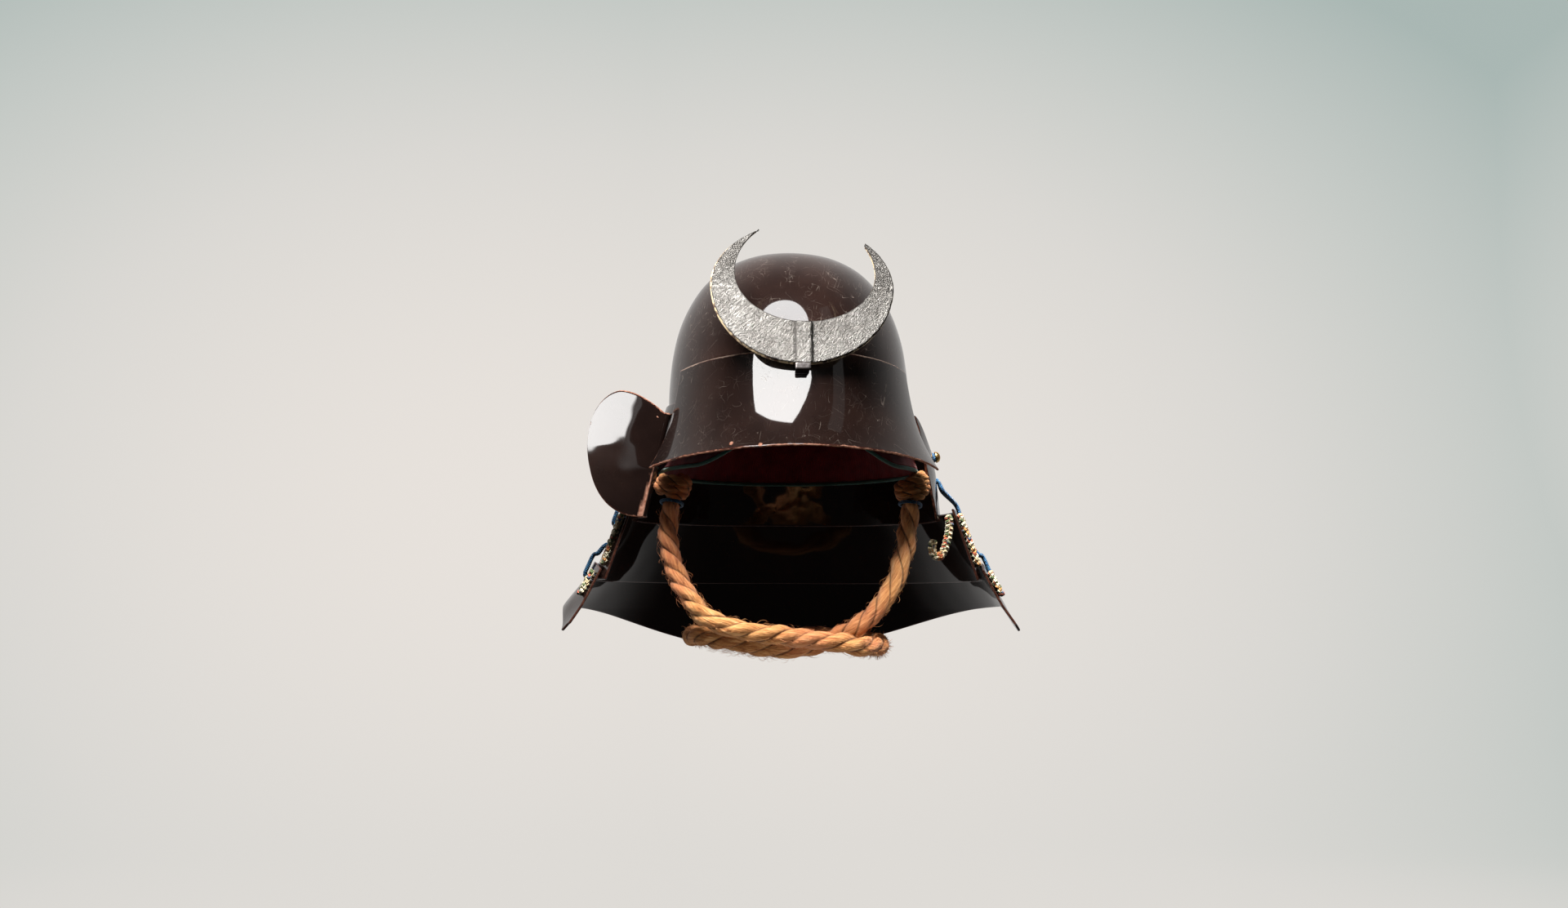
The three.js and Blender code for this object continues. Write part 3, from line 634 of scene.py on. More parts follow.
LACQUER = lacquer_finish()
SILVER_LEATHER = silver_leather_finish()
GILT = gilt_finish()
STEEL = metal_finish("clip_steel", (0.44, 0.39, 0.38), (0.80, 0.74, 0.73), 0.34)
DARK_IRON = metal_finish("blackened_iron", (0.012, 0.009, 0.008), (0.07, 0.05, 0.045), 0.36, metallic=0.7)
BRASS = metal_finish("old_brass", (0.30, 0.15, 0.045), (0.78, 0.52, 0.20), 0.22)
RED_CLOTH = cloth_finish("red_cloth", (0.085, 0.007, 0.010), (0.36, 0.032, 0.038))
GREEN_CLOTH = cloth_finish("green_cloth", (0.02, 0.06, 0.05), (0.09, 0.21, 0.17))
BLUE_SILK = silk_finish()
FLECKED = flecked_finish()
HEMP = hemp_finish()


def dress(piece, finish, slot, *nodes):
    """Gives a piece its finish, hangs it on the root and hides the solids that it stands for. The slot is
    not used.
    """
    piece.data.materials.clear()
    piece.data.materials.append(finish)
    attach(piece, "root")
    if nodes:
        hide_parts(*nodes)
    return piece


# ---------------------------------------------------------------- bowl, lining and brow plate

AIR = 0.4  # between pieces that lie on each other
BOWL = dict(top=5, half_width=111, half_length=130, height=150, power=2.5, wall=2.6)
LINING = dict(wall=2, hem_front=-170, hem_side=-197, flare=12)
BINDING_RADIUS = 1.75
BROW = dict(wall=2.2, reach=math.radians(66), top_front=-100, top_drop=10, bottom_front=-186,
            bottom_drop=13.5, half_width=112.9, half_length=131.2, slope=15, flare=16.5)


def dome(gap, slope, turn):
    """A gap inside the bowl's face, an oval dome: out = sin^(2/p) and up = cos^(2/p) of the slope."""
    out = np.sin(slope) ** (2 / BOWL["power"])
    up = np.maximum(0, np.cos(slope)) ** (2 / BOWL["power"])
    x = (BOWL["half_width"] - gap) * out * np.sin(turn)
    forward = (BOWL["half_length"] - gap) * out * np.cos(turn)
    return place(x, forward, BOWL["top"] - gap - (BOWL["height"] - gap) * (1 - up))


def near(grid, spots):
    """1 at each of some spots, falling to 0 at its reach: spots are (x, forward, z, reach)."""
    total = np.zeros(grid.shape[:-1])
    for x, forward, z, reach in spots:
        distance = np.linalg.norm(grid - place(x, forward, z), axis=-1)
        total = np.maximum(total, 1 - distance / reach)
    return np.clip(total, 0, 1)


def make_bowl():
    """The crown, with its rows crowded at its foot and the broad unevenness of hammered iron."""
    turn = np.linspace(0, TAU, 221)[:-1, None]
    down = np.concatenate([np.linspace(0, 1, 90) ** 1.1 * 0.985, [0.990, 0.994, 0.997, 0.999, 1]])[None]
    grid = dome(0, down * math.pi / 2, turn)
    grid += facing(grid, True) * (ripple(grid, 11, 95, 3) * 0.35)[..., None]
    worn = np.full(grid.shape[:-1], 0.3)
    bowl = wall("lacquered_bowl", grid, BOWL["wall"], ring=True, pole=True, fields={"worn": worn})
    dress(bowl, LACQUER, "lacquer", "bowl")


def lining_hem(turn):
    """The hem's height: higher over the face, down by 50 degrees to either side."""
    angle = np.degrees(np.abs(np.arctan2(np.sin(turn), np.cos(turn))))
    return lerp(LINING["hem_front"], LINING["hem_side"], smooth(angle, 12, 50))


def lining_skirt(turn, z):
    """Below the bowl the cloth spreads by the power 1.5 of its drop."""
    foot = BOWL["top"] - BOWL["height"]
    spread = LINING["flare"] * np.clip((foot - z) / (foot - LINING["hem_side"]), 0, 2) ** 1.5
    out = spread - BOWL["wall"] - AIR
    return place((BOWL["half_width"] + out) * np.sin(turn), (BOWL["half_length"] + out) * np.cos(turn), z)


def make_lining():
    """A cloth cap that lies in the bowl and hangs below it, puckered more and more towards its hem."""
    turn = np.linspace(0, TAU, 181)[:-1, None]
    cap = dome(BOWL["wall"] + AIR, np.linspace(0, 1, 60)[None] * math.pi / 2, turn)
    drop = np.concatenate([np.linspace(0, 0.96, 20)[1:], [0.975, 0.99, 1]])[None]
    skirt = lining_skirt(turn, lerp(BOWL["top"] - BOWL["height"], lining_hem(turn), drop))
    grid = np.concatenate([cap, skirt], 1)
    pucker = np.sin(turn * 46 + 0.6 * np.sin(turn * 5)) * smooth(-grid[..., 2], 60, 165)
    grid -= facing(grid, True) * (0.35 + 0.35 * pucker + 0.25 * ripple(grid, 5, 34, 3))[..., None]
    cloth = wall("red_lining", grid, LINING["wall"] - 0.5, ring=True, pole=True)
    dress(cloth, RED_CLOTH, "red_cloth", "lining")


def make_binding():
    """A rolled cloth edge under the lining's hem, drawn in a little by each of its stitches."""
    around = np.linspace(0, TAU, 321)
    hem = lining_skirt(around, lining_hem(around))
    outward = place(np.sin(around), np.cos(around), 0 * around)
    middle = hem - outward * LINING["wall"] / 2
    middle[:, 2] -= 1.9
    turns = np.linspace(0, TAU, 17)
    radius = BINDING_RADIUS + 0.12 * np.sin(around * 140)[:, None, None]
    out = np.cos(turns)[:, None] * outward[:, None] + np.sin(turns)[:, None] * np.array([0, 0, 1.0])
    ring = middle[:, None] + radius * out
    along = from_ends(middle[:, None], 0)[0]
    flow = np.stack(np.broadcast_arrays(along * MM, turns[None] * BINDING_RADIUS * MM), -1).reshape(-1, 2)
    strip = new_piece("green_binding", ring.reshape(-1, 3), quads_of(numbered(ring))[:, ::-1], {}, flow)
    dress(strip, GREEN_CLOTH, "green_cloth", "lining_binding")


def brow_place(turn, share):
    """The brow plate's outer face: slope s + flare s^3 outwards from a level oval, down a share s."""
    off = np.abs(turn) / BROW["reach"]
    top = BROW["top_front"] - BROW["top_drop"] * off ** 2
    bottom = BROW["bottom_front"] - BROW["bottom_drop"] * off ** 1.7
    out = BROW["slope"] * share + BROW["flare"] * share ** 3
    x = (BROW["half_width"] + out) * np.sin(turn)
    forward = (BROW["half_length"] + 0.85 * out) * np.cos(turn)
    return place(x, forward, lerp(top, bottom, share))


# Places where the lacquer has chipped off: x, forward, z and how far the chip reaches.
BROW_CHIPS = ((-81, 112, -131, 3.4), (-62, 138, -184, 5), (-38, 152, -185, 5), (4, 156, -186, 4),
              (34, 152, -187, 5), (-98, 92, -188, 3), (88, 60, -103, 3))
EAR_CHIPS = ((-119, 32, -148, 5), (-121, 33, -174, 4), (-122, 35, -151, 4), (-118, 36, -190, 3))


def make_brow_plate():
    """The front plate and its visor in one, dented, and nicked along the visor's edge."""
    turn = (lipped(170, 300, 1.1)[:, None] * 2 - 1) * BROW["reach"]
    share = lipped(80, 92, 1.1)[None]
    grid = brow_place(turn, share)
    dents = ripple(grid, 21, 85, 2) * 0.20 + ripple(grid, 22, 24, 2) * 0.015
    grid += facing(grid, False) * (dents * smooth(share, 0.03, 0.15))[..., None]
    nick = ripple(grid * (1, 1, 0.2), 23, 14, 4)
    grid[..., 2] += np.clip(nick, 0, 1) * 0.7 * smooth(share, 0.93, 1)
    worn = 0.25 + 0.75 * smooth(share, 0.5, 0.9) + 0 * turn
    # pale is 1 along the brow plate's top, where the lacquer finish paints a highlight on the edge.
    pale = smooth(share, 0.2, 0.1) + 0 * turn
    fields = {"worn": worn, "pale": pale, "chip": near(grid, BROW_CHIPS)}
    dress(wall("brow_plate_lacquered", grid, BROW["wall"], fields=fields), LACQUER, "lacquer", "brow_plate")


# ---------------------------------------------------------------- waist band and neck guard

FRONT = 0.28  # share of a plate's turn taken by the stretch ahead of its widest place
# Each row of a plate holds its height, half its width, how far forward it is widest, how deep it is
# behind that, x and the forward place of its front edge, and the power by which it draws in to that edge.
KEYS = ("z", "half", "wide", "deep", "edge", "front", "curl")


def plate(shift, wall_thickness, *rows, **more):
    """A plate's measures. Its rows are given from the top down and kept from the bottom up."""
    return dict(shift=shift, wall=wall_thickness, rows=np.array(rows, float)[::-1], **more)


WAIST_BAND = plate(0, 2.2, (-138, 113.6, 0, 132.6, 90.7, 80, 2.2), (-160, 120.1, -12, 126, 91.5, 80, 1.9),
                   (-172, 126, -19, 124.5, 94.5, 80, 1.7), (-183, 133, -25, 125, 97.5, 80, 1.5),
                   top=-138, bottom=-183)
TOP_LAME = plate(0.5, 2.4, (-147, 129, -20, 127, 114, 34, 2), (-175, 136, -25, 128, 120.6, 34, 2),
                 (-198, 140.5, -27, 133, 125, 34, 2), (-227, 143.5, -29, 139, 131.5, 32, 2),
                 (-242, 145.5, -30, 142, 134.8, 30, 2), top=-175, bottom=-242, back_bottom=-238)
MIDDLE_LAME = plate(3.5, 2.4, (-231, 157.5, -40, 142, 150, 9, 2), (-297.5, 185, -40, 164, 173.5, 9, 2),
                    top=-231, bottom=-297.5, back_bottom=-294)
BOTTOM_LAME = plate(4, 2.4, (-279, 183, -45, 159, 173, 8, 2), (-300, 194, -45, 164, 184, 10, 2),
                    (-321, 205, -45, 169, 195, 13, 2), (-344, 214.5, -45, 174, 211, 17, 2),
                    (-362, 220, -45, 178, 216, 17, 2),
                    top=-279, top_front=-288, side=-320, back=-362, tip=-352, corner=14, push=7)
EAR = dict(fold_radius=2.5, fold_from=-30, fold_to=105, sweep_to=124, length=71, peak=0.66, top=-125,
           top_rise=22, end_drop=28, bottom=-242, bottom_end=-157)


def row_at(shape, z):
    """Each measure of a plate at a height: straight between rows, and on along the end spans."""
    rows = shape["rows"]
    z = np.asarray(z, float)
    k = np.clip(np.searchsorted(rows[:, 0], z), 1, len(rows) - 1)
    share = (z - rows[k - 1, 0]) / (rows[k, 0] - rows[k - 1, 0])
    values = lerp(rows[k - 1], rows[k], share[..., None])
    return dict(zip(KEYS, np.moveaxis(values, -1, 0)))


def ahead_share(turn):
    """0 behind a plate's widest place, growing to 1 at its front edges."""
    return np.maximum(0, (np.abs(turn) - (1 - FRONT)) / FRONT)


def oval_angle(turn):
    """0 at a plate's back, growing to a quarter turn at its widest place and no further."""
    return np.clip(turn / (1 - FRONT), -1, 1) * math.pi / 2


def plate_place(shape, turn, z):
    """Turn 1 is the right front edge, 0 the back and -1 the left one.

    Behind the widest place the plan is half an oval; ahead of it x draws in by the power of the
    row's curl. A push widens the left side, most where the plate is widest and not at its edge.
    """
    turn, z = np.broadcast_arrays(np.asarray(turn, float), np.asarray(z, float))
    row = row_at(shape, z)
    ahead, angle = ahead_share(turn), oval_angle(turn)
    low = smooth(-z, 290, 325)
    half = row["half"] + shape.get("push", 0) * low * smooth(-turn, 0.42, 1 - FRONT) * (1 - ahead ** 2)
    x = half * np.sin(angle) - np.sign(turn) * (half - row["edge"]) * ahead ** row["curl"]
    forward = row["wide"] - row["deep"] * np.cos(angle) + ahead * (row["front"] - row["wide"])
    return place(shape["shift"] + x, forward, z)


def plate_turns():
    """From the right front edge round the back to the left one, crowded at both."""
    return 1 - 2 * lipped(220, 620, 1.2)[:, None]


def plain_plate(node, shape, top, bottom, rows, seed, worn):
    """A plate between its top and bottom heights at each turn, uneven as lacquer laid by hand."""
    turn = plate_turns()
    share = lipped(rows, 66, 1.2)[None]
    grid = plate_place(shape, turn, lerp(top, bottom, share))
    grid = grid + facing(grid, False) * (ripple(grid, seed, 80, 3) * 0.3)[..., None]
    bare = worn * (0.55 + 0.45 * smooth(np.abs(turn), 0.9, 1)) + 0 * share
    dress(wall(f"{node}_lacquered", grid, shape["wall"], fields={"worn": bare}), LACQUER, "lacquer", node)


def bottom_foot(turn):
    """Arched over the shoulders, dipping at the back by cos^3.4 and to the tips by the power 1.3."""
    ahead = ahead_share(turn)
    side, back, tip = (BOTTOM_LAME[k] for k in ("side", "back", "tip"))
    ahead_foot = lerp(side, tip, ahead ** 1.3) + BOTTOM_LAME["corner"] * smooth(ahead, 0.8, 1)
    behind_foot = lerp(side, back, np.maximum(0, np.cos(oval_angle(turn))) ** 3.4)
    return np.where(ahead > 0, ahead_foot, behind_foot)


def bend(x, forward, radius, start, end):
    """Along an arc in plan, between two ways in degrees from straight ahead, turning out to the left."""
    a, b = np.radians(start), np.radians(end)
    return x + radius * (np.cos(b) - np.cos(a)), forward + radius * (np.sin(b) - np.sin(a))


def ear_top(share):
    """The ear's top edge falls to its root by the power 1.6, and to its far end by a quarter oval."""
    rise = EAR["top"] - EAR["top_rise"] * np.maximum(0, (EAR["peak"] - share) / EAR["peak"]) ** 1.6
    over = np.clip((share - EAR["peak"]) / (1 - EAR["peak"]), 0, 1)
    return np.where(share < EAR["peak"], rise, EAR["top"] - EAR["end_drop"] * (1 - np.sqrt(1 - over ** 2)))


def ear_bottom(share):
    """The ear's bottom edge rises to its far end along an oval of the power 1.8."""
    drop = np.maximum(0, 1 - share ** 2) ** (1 / 1.8)
    return EAR["bottom_end"] - (EAR["bottom_end"] - EAR["bottom"]) * drop


def left_edge(z):
    """x and the forward place of the top lame's left front edge, where the fold begins."""
    row = row_at(TOP_LAME, z)
    return TOP_LAME["shift"] - row["edge"], row["front"]


def ear_fold(rows):
    """The fold, a small upright arc that turns the sheet round to face outwards."""
    z = lerp(ear_top(np.array(0.0)), EAR["bottom"], rows)
    ways = np.linspace(EAR["fold_from"], EAR["fold_to"], 22)[1:, None]
    return place(*bend(*left_edge(z), EAR["fold_radius"], EAR["fold_from"], ways), z)


def ear_beyond_fold(rows, share):
    """The ear on from the fold, at shares of its length, sweeping gently round."""
    z = lerp(ear_top(share), ear_bottom(share), rows)
    start = bend(*left_edge(z), EAR["fold_radius"], EAR["fold_from"], EAR["fold_to"])
    sweep = EAR["length"] / math.radians(EAR["sweep_to"] - EAR["fold_to"])
    return place(*bend(*start, sweep, EAR["fold_to"], lerp(EAR["fold_to"], EAR["sweep_to"], share)), z)


def make_top_lame():
    """The lame, its fold and the turned-back ear as one sheet; the right end is a ragged break."""
    rows = lipped(44, 72, 1.2)[None]
    turn = plate_turns()[:-5]
    top = lerp(TOP_LAME["top"], ear_top(np.array(0.0)), smooth(ahead_share(turn), 0.45, 1))
    bottom = lerp(TOP_LAME["back_bottom"], TOP_LAME["bottom"], np.abs(turn))
    lame = plate_place(TOP_LAME, turn, lerp(top, bottom, rows))
    fold = ear_fold(rows)
    steps = np.concatenate([np.linspace(0, 1, 74)[1:] ** 0.9 * 0.93, [0.95, 0.965, 0.98, 0.99]])
    share = np.sin(steps * math.pi / 2)[:, None]
    ear = ear_beyond_fold(rows, share)
    grid = np.concatenate([lame, fold, ear])
    grid += facing(grid, False) * (ripple(grid, 31, 60, 3) * 0.25)[..., None]

    on_lame = np.concatenate([np.ones(len(lame)), np.zeros(len(fold) + len(ear))])[:, None]
    from_right = from_ends(grid, 0)[0]
    broken = smooth(from_right, 2.2, 0.4) * on_lame
    jag = ripple(grid * (0.4, 0.4, 1), 33, 13, 5)
    grid[..., 1] += broken * (0.6 + 1.3 * jag) * smooth(from_right, 3, 0)
    # the strip of bare metal down the fold, broader towards its foot
    fold_arc = EAR["fold_radius"] * math.radians(EAR["fold_to"] - EAR["fold_from"])
    far_off = np.full(len(lame), -99.0)
    past_fold = [far_off, np.linspace(-fold_arc, 0, len(fold)), share[:, 0] * EAR["length"]]
    past_fold = np.concatenate(past_fold)[:, None]
    height = grid[..., 2]
    strip = 4.2 * smooth(height, -188, -242) ** 3 - 0.5 + 0.5 * ripple(grid, 36, 9, 4)
    bare = smooth(past_fold, -1.1, -0.6) * smooth(past_fold - strip, 0.3, -0.3) * smooth(height, -190, -204)
    worn = 0.35 + 0.65 * (1 - on_lame) + 0 * rows
    raw = np.maximum(broken * smooth(jag, -0.9, -0.3), bare)
    fields = {"worn": worn, "raw": raw * 0.999, "chip": near(grid, EAR_CHIPS)}
    dress(wall("top_lame_and_ear", grid, TOP_LAME["wall"], fields=fields), LACQUER, "lacquer", "top_lame")


def make_plates():
    """The waist band, and the three plates of the neck guard from the top down."""
    turn = plate_turns()
    plain_plate("waist_band", WAIST_BAND, WAIST_BAND["top"], WAIST_BAND["bottom"], 22, 41, 0.1)
    make_top_lame()
    foot = lerp(MIDDLE_LAME["back_bottom"], MIDDLE_LAME["bottom"], np.abs(turn))
    plain_plate("middle_lame", MIDDLE_LAME, MIDDLE_LAME["top"], foot, 36, 43, 0.25)
    head = lerp(BOTTOM_LAME["top"], BOTTOM_LAME["top_front"], ahead_share(turn) ** 2)
    plain_plate("bottom_lame", BOTTOM_LAME, head, bottom_foot(turn), 44, 44, 0.35)


# ---------------------------------------------------------------- crest

CREST = dict(outer=(0, -45, 80, 68, 59.5, -155, 136.6), inner=(2.7, -33, 62, 43.4, 53.5, -141, 122.5),
             foot=-113, foot_forward=146, lean=3.5, crease=-47, bend=20, face=1.4, backing=3, shows=1.8)
RIB = dict(half_width=7.0, height=2.6, middle=0.9, top=-60)
PRONG = dict(wall=2.3, width=12.4, foot=-121.5, forward=139.8, top=-84, gap=1.8)


def bell(distance, width):
    """1 in the middle and exp(-(d/w)^2) away from it."""
    return np.exp(-(distance / width) ** 2)


def oval(shape, share, grow=0.0):
    """x, z on an oval of one height below its middle and another above, at a share of its sweep."""
    x, z, half, below, above, start, end = shape
    angle = np.radians(lerp(start, end, share))
    lift = np.where(np.cos(angle) > 0, below + grow, above)
    return x + (half + grow / 2) * np.sin(angle), z - lift * np.cos(angle)


def crest_forward(z):
    """The crest leans back, and its horns lean back more above their crease."""
    tilt = math.tan(math.radians(CREST["lean"])) * (np.minimum(z, CREST["crease"]) - CREST["foot"])
    over = z - CREST["crease"]
    soft = 0.5 * (over + np.sqrt(over ** 2 + 5.0))
    return CREST["foot_forward"] - tilt - math.tan(math.radians(CREST["bend"])) * soft


def crest_grid(share, down, grow=0.0):
    """x and z from the left tip to the right one, and from the inner edge down to the outer one."""
    outer, inner = oval(CREST["outer"], share, grow), oval(CREST["inner"], share)
    return lerp(inner[0], outer[0], down), lerp(inner[1], outer[1], down)


def make_crest_face():
    """Leather over a raised rib, with a gutter at its sides, slanting wrinkles and a fold at the crease."""
    share = lerp(0.008, 0.992, lipped(420, 330, 0.8))[:, None]
    down = lipped(46, 26, 0.8)[None]
    x, z = crest_grid(share, down)
    half = RIB["half_width"]
    across, below = x - RIB["middle"], smooth(z, RIB["top"], RIB["top"] - 10)
    ridge = np.maximum(0, 1 - (np.abs(across) / half) ** 3) ** 0.6
    flat_top = smooth(np.abs(across), half + 0.3, half - 0.7)
    rib = (0.55 * ridge + 0.45 * flat_top) * below * RIB["height"]
    gutter = bell(np.abs(across) - half - 0.9, 0.8) * 0.5 * below
    # Painted shade in the gutter beside the rib, heavier on its left side; it darkens the leather's colour.
    groove = (bell(across + half + 0.5, 0.65) + 0.3 * bell(across - half - 0.5, 0.65)) * below
    grid = place(x, crest_forward(z), z)
    slant = grid @ np.array([[1, 0, 0.7], [0, 1, 0], [-0.7, 0, 1]])
    wrinkle = ripple(slant * (0.5, 1, 1.2), 51, 16, 3) * 0.22
    crinkle = ripple(slant * (0.4, 1, 1.3), 52, 4.5, 3) * 0.05
    fold = -0.7 * bell(z - CREST["crease"] + 2 * ripple(grid, 53, 30, 2), 1.2)
    lift = rib - gutter + wrinkle + crinkle + fold - 0.35
    face = grid + np.array([0, -1.0, 0]) * lift[..., None]
    rag = ripple(grid, 54, 7, 4) * 0.35 * smooth(down, 0.97, 1)
    face[..., 0] += rag
    face[..., 2] += rag
    leather = wall("silvered_crescent", face, CREST["face"] - 0.3, fields={"groove": groove})
    dress(leather, SILVER_LEATHER, "silver_leather", "crest_face")


def make_crest_board():
    """The board behind the leather, which shows a little all round it."""
    share = lerp(0.012, 0.988, lipped(260, 330, 1.4))[:, None]
    down = lipped(14, 28, 1.4)[None]
    x, z = crest_grid(share, down, CREST["shows"])
    behind = CREST["face"] + 1.0
    board = place(x, crest_forward(z) - behind, z)
    board[..., 0] += 0.25 * ripple(board, 55, 10, 3) * smooth(down, 0.9, 1)
    dress(wall("crest_board", board, CREST["backing"]), GILT, "gilt_board", "crest_backing")


def make_crest_mount():
    """The clip at the crest's foot, and the bent iron strap that carries the crest."""
    clip = grid_piece("crest_clip_bright", rounded_block((13.4, 4.9, 4.9), 0.22) + (0, -146.4, -115.9))
    dress(clip, STEEL, "steel", "crest_clip")

    share = (PRONG["foot"] - BROW["top_front"]) / (BROW["bottom_front"] - BROW["top_front"])
    near_brow = -brow_place(np.array(0.0), np.array(share))[1] + AIR
    near_crest = crest_forward(np.array(PRONG["top"])) - CREST["face"] - CREST["backing"] - PRONG["gap"]
    ahead, foot = PRONG["forward"], PRONG["foot"]
    forward, z = np.array([[near_crest, PRONG["top"]], [ahead, foot + 8], [ahead, foot + 3],
                           [lerp(near_brow, ahead, 0.6), foot], [near_brow, foot - 0.6]]).T
    line = resample(place(0, forward, z), 60)
    sideways = (lipped(12, 12.6, 1.0) - 0.5) * PRONG["width"]
    strap = line[None] + np.array([1.0, 0, 0]) * sideways[:, None, None]
    dress(wall("crest_prong_iron", strap, PRONG["wall"]), DARK_IRON, "dark_iron", "crest_prong")


# ---------------------------------------------------------------- rivets, lacing and braids

RIVET_TURNS = (-0.74, -0.38, 0, 0.38, 0.74)
RIVET_HEIGHT = -181.5
LACE_TURNS = (-0.78, -0.52, -0.26, 0, 0.26, 0.52, 0.78)


def outward_at(shape, turn, z):
    """A place on a plate with its outward way and the way to the right along it."""
    here = plate_place(shape, turn, z)
    right = unit(plate_place(shape, turn - 0.01, z) - plate_place(shape, turn + 0.01, z))
    down = plate_place(shape, turn, z - 1) - plate_place(shape, turn, z + 1)
    return here, unit(np.cross(down, right)), right


def make_rivets():
    """Domed rivets on the top lame, each with a cord wound twice under its head."""
    angle = np.linspace(0, math.pi / 2, 16)
    cap = np.stack([5.3 * np.cos(angle), 3.9 + 4.5 * np.sin(angle) ** 0.95], -1)
    cap[-1, 0] = 0
    profile = np.concatenate([[(0, 0.4), (2.2, 0.4), (2.2, 3.3), (4.6, 3.4), (5.15, 3.55)], cap])
    spin = np.linspace(0, 2 * TAU, 121)[:, None]
    wound, height = 3.7 + 0.25 * np.sin(spin / 2), 1.4 + 0.65 * spin / TAU
    for number, turn in enumerate(RIVET_TURNS, 1):
        here, outward, right = outward_at(TOP_LAME, turn, RIVET_HEIGHT)
        head = grid_piece(f"brass_rivet_{number}", lathe(profile, here, outward, right))
        dress(head, BRASS, "brass", f"rivet_{number}")
        up = np.cross(outward, right)
        coil = here + wound * (np.cos(spin) * right + np.sin(spin) * up) + height * outward
        ring = tube(f"rivet_cord_wound_{number}", coil, 0.95, outward, sides=10)
        dress(ring, BLUE_SILK, "blue_silk", f"rivet_cord_{number}")


def silk_cord(name, path, radius, hint):
    """A braided silk cord: a slightly flattened tube with a low ripple at each stitch."""
    length = np.linalg.norm(np.diff(path, axis=0), axis=1).sum()
    path = even_ends(path, radius, max(24, int(length * 3)))
    along = from_ends(path[:, None], 0)[0]
    turn = np.linspace(0, TAU, 13)[None]
    swell = radius * (1 + 0.07 * np.sin(along * 3.6 + np.sin(turn) * 2.2))
    return tube(name, path, swell, hint, across=0.78)


def lace_path(upper, lower, hole, turn, aside, seed):
    """From a hole in the upper plate, out and down over the lower plate's edge, into its hole."""
    draw = np.random.default_rng(seed)
    slack, rim = draw.uniform(-0.5, 1.0), lower["top"]
    stops = ((upper, hole + 1.2, -0.3), (upper, hole - 2.5, 2.2), (upper, hole - 10, 4.6 + slack),
             (lower, rim + 4, 3.4), (lower, rim - 6, 3.2), (lower, rim - 13.5, 2.2),
             (lower, rim - 15.6, -0.3))
    points = []
    for shape, z, out in stops:
        here, outward, right = outward_at(shape, turn, z)
        points.append(here + outward * out + right * (aside * 2.4 + draw.uniform(-0.6, 0.6)))
    return through(points, 12)


def make_laces():
    """Between each two lames, pairs of cords side by side."""
    tiers = (("upper", TOP_LAME, MIDDLE_LAME, -203), ("lower", MIDDLE_LAME, BOTTOM_LAME, -264))
    for tier, upper, lower, hole in tiers:
        for k, turn in enumerate(LACE_TURNS):
            hint = outward_at(upper, turn, hole)[2]
            cords = []
            for aside in (-1, 1):
                path = lace_path(upper, lower, hole, turn, aside, 7 * k + aside + 1)
                cords.append(silk_cord(f"{tier}_lace_cord_{k}_{aside}", path, 2.35, hint))
            lace = merged(f"silk_lace_{tier}_{k + 1}", cords)
            dress(lace, BLUE_SILK, "blue_silk", f"{tier}_lace_{k + 1}")


def plait(name, path, outward, right, radius=2.05, sway=2.8, rise=1.0, period=15.0):
    """Three strands that cross in turn: each sways by a sine and rises by the sine of twice the angle."""
    path = resample(path, 160)
    along = from_ends(path[:, None], 0)[0]
    taper = smooth(np.minimum(along, along[-1] - along), -1, 3.5)
    strands = []
    for k in range(3):
        phase = TAU * (along / period + k / 3)
        middle = path + right * (sway * np.sin(phase) * taper) + outward * (rise * np.sin(2 * phase))
        swell = radius * (1 + 0.07 * np.sin(along * 3 + k))
        strands.append(tube(f"{name}_{k}", middle, swell, outward))
    return merged(name, strands)


def make_braids():
    """A plait down each front edge of the two lower lames, a little way off the plate."""
    tiers = (("middle", MIDDLE_LAME, -236.5, -285), ("bottom", BOTTOM_LAME, -290.5, -313))
    behind_edge = 9
    for tier, shape, start, end in tiers:
        row = row_at(shape, start)
        turn = 1 - FRONT * behind_edge / (row["front"] - row["wide"])
        z = np.linspace(start, end, 24)
        lift = (2.6 + 0.35 * np.sin(z * 0.9))[:, None]
        for side, sign in (("left", -1), ("right", 1)):
            here, outward, right = outward_at(shape, sign * turn, z)
            name = f"flecked_braid_{tier}_{side}"
            braid = plait(name, here + outward * lift, outward.mean(0), right.mean(0))
            dress(braid, FLECKED, "flecked_braid", f"{tier}_braid_{side}")


# ---------------------------------------------------------------- ropes

ROPE_ROUTE = np.array([
    [-109.5, -41, -227], [-113, -47, -250], [-112.5, -55, -270], [-108, -63, -289], [-101, -75, -307],
    [-92, -84, -322], [-81, -92, -334], [-62, -99, -342.5], [-35, -103, -348], [-4, -105, -351.5],
    [28, -104, -355.5], [50, -99, -358.5], [68, -81, -359.5], [78, -54, -358.5], [79, -22, -356],
    [70, 9, -353], [52, 32, -350], [27, 46, -349], [-4, 50, -349], [-35, 46, -349], [-61, 32, -349],
    [-80, 9, -349], [-89, -20, -349], [-90, -46, -349], [-82, -68, -350.5], [-66, -80, -353.5],
    [-44, -84.5, -357.5], [-18, -85.5, -361], [8, -84.5, -360], [31, -83, -353.5], [50, -81.5, -344.5],
    [65, -80, -334], [77, -76.5, -321], [88, -71, -305], [96, -63, -287], [101.5, -55, -269],
    [105.5, -48, -250], [108.5, -42, -226.6],
])
LOOSE_ROUTE = np.array([
    [149, -7, -237], [150, -6, -247], [148.5, -5, -258], [145.5, -4, -269], [141, -3.5, -275.5],
    [136, -3, -274], [134, -3, -267], [136, -3, -260],
])
ROPE_RADIUS = 9.2
ROPE_HINT = (0.15, 0.1, 1.0)
STRANDS = 3
STRAND_OUT = 0.36  # how far out a strand's middle lies, as a share of the rope's radius


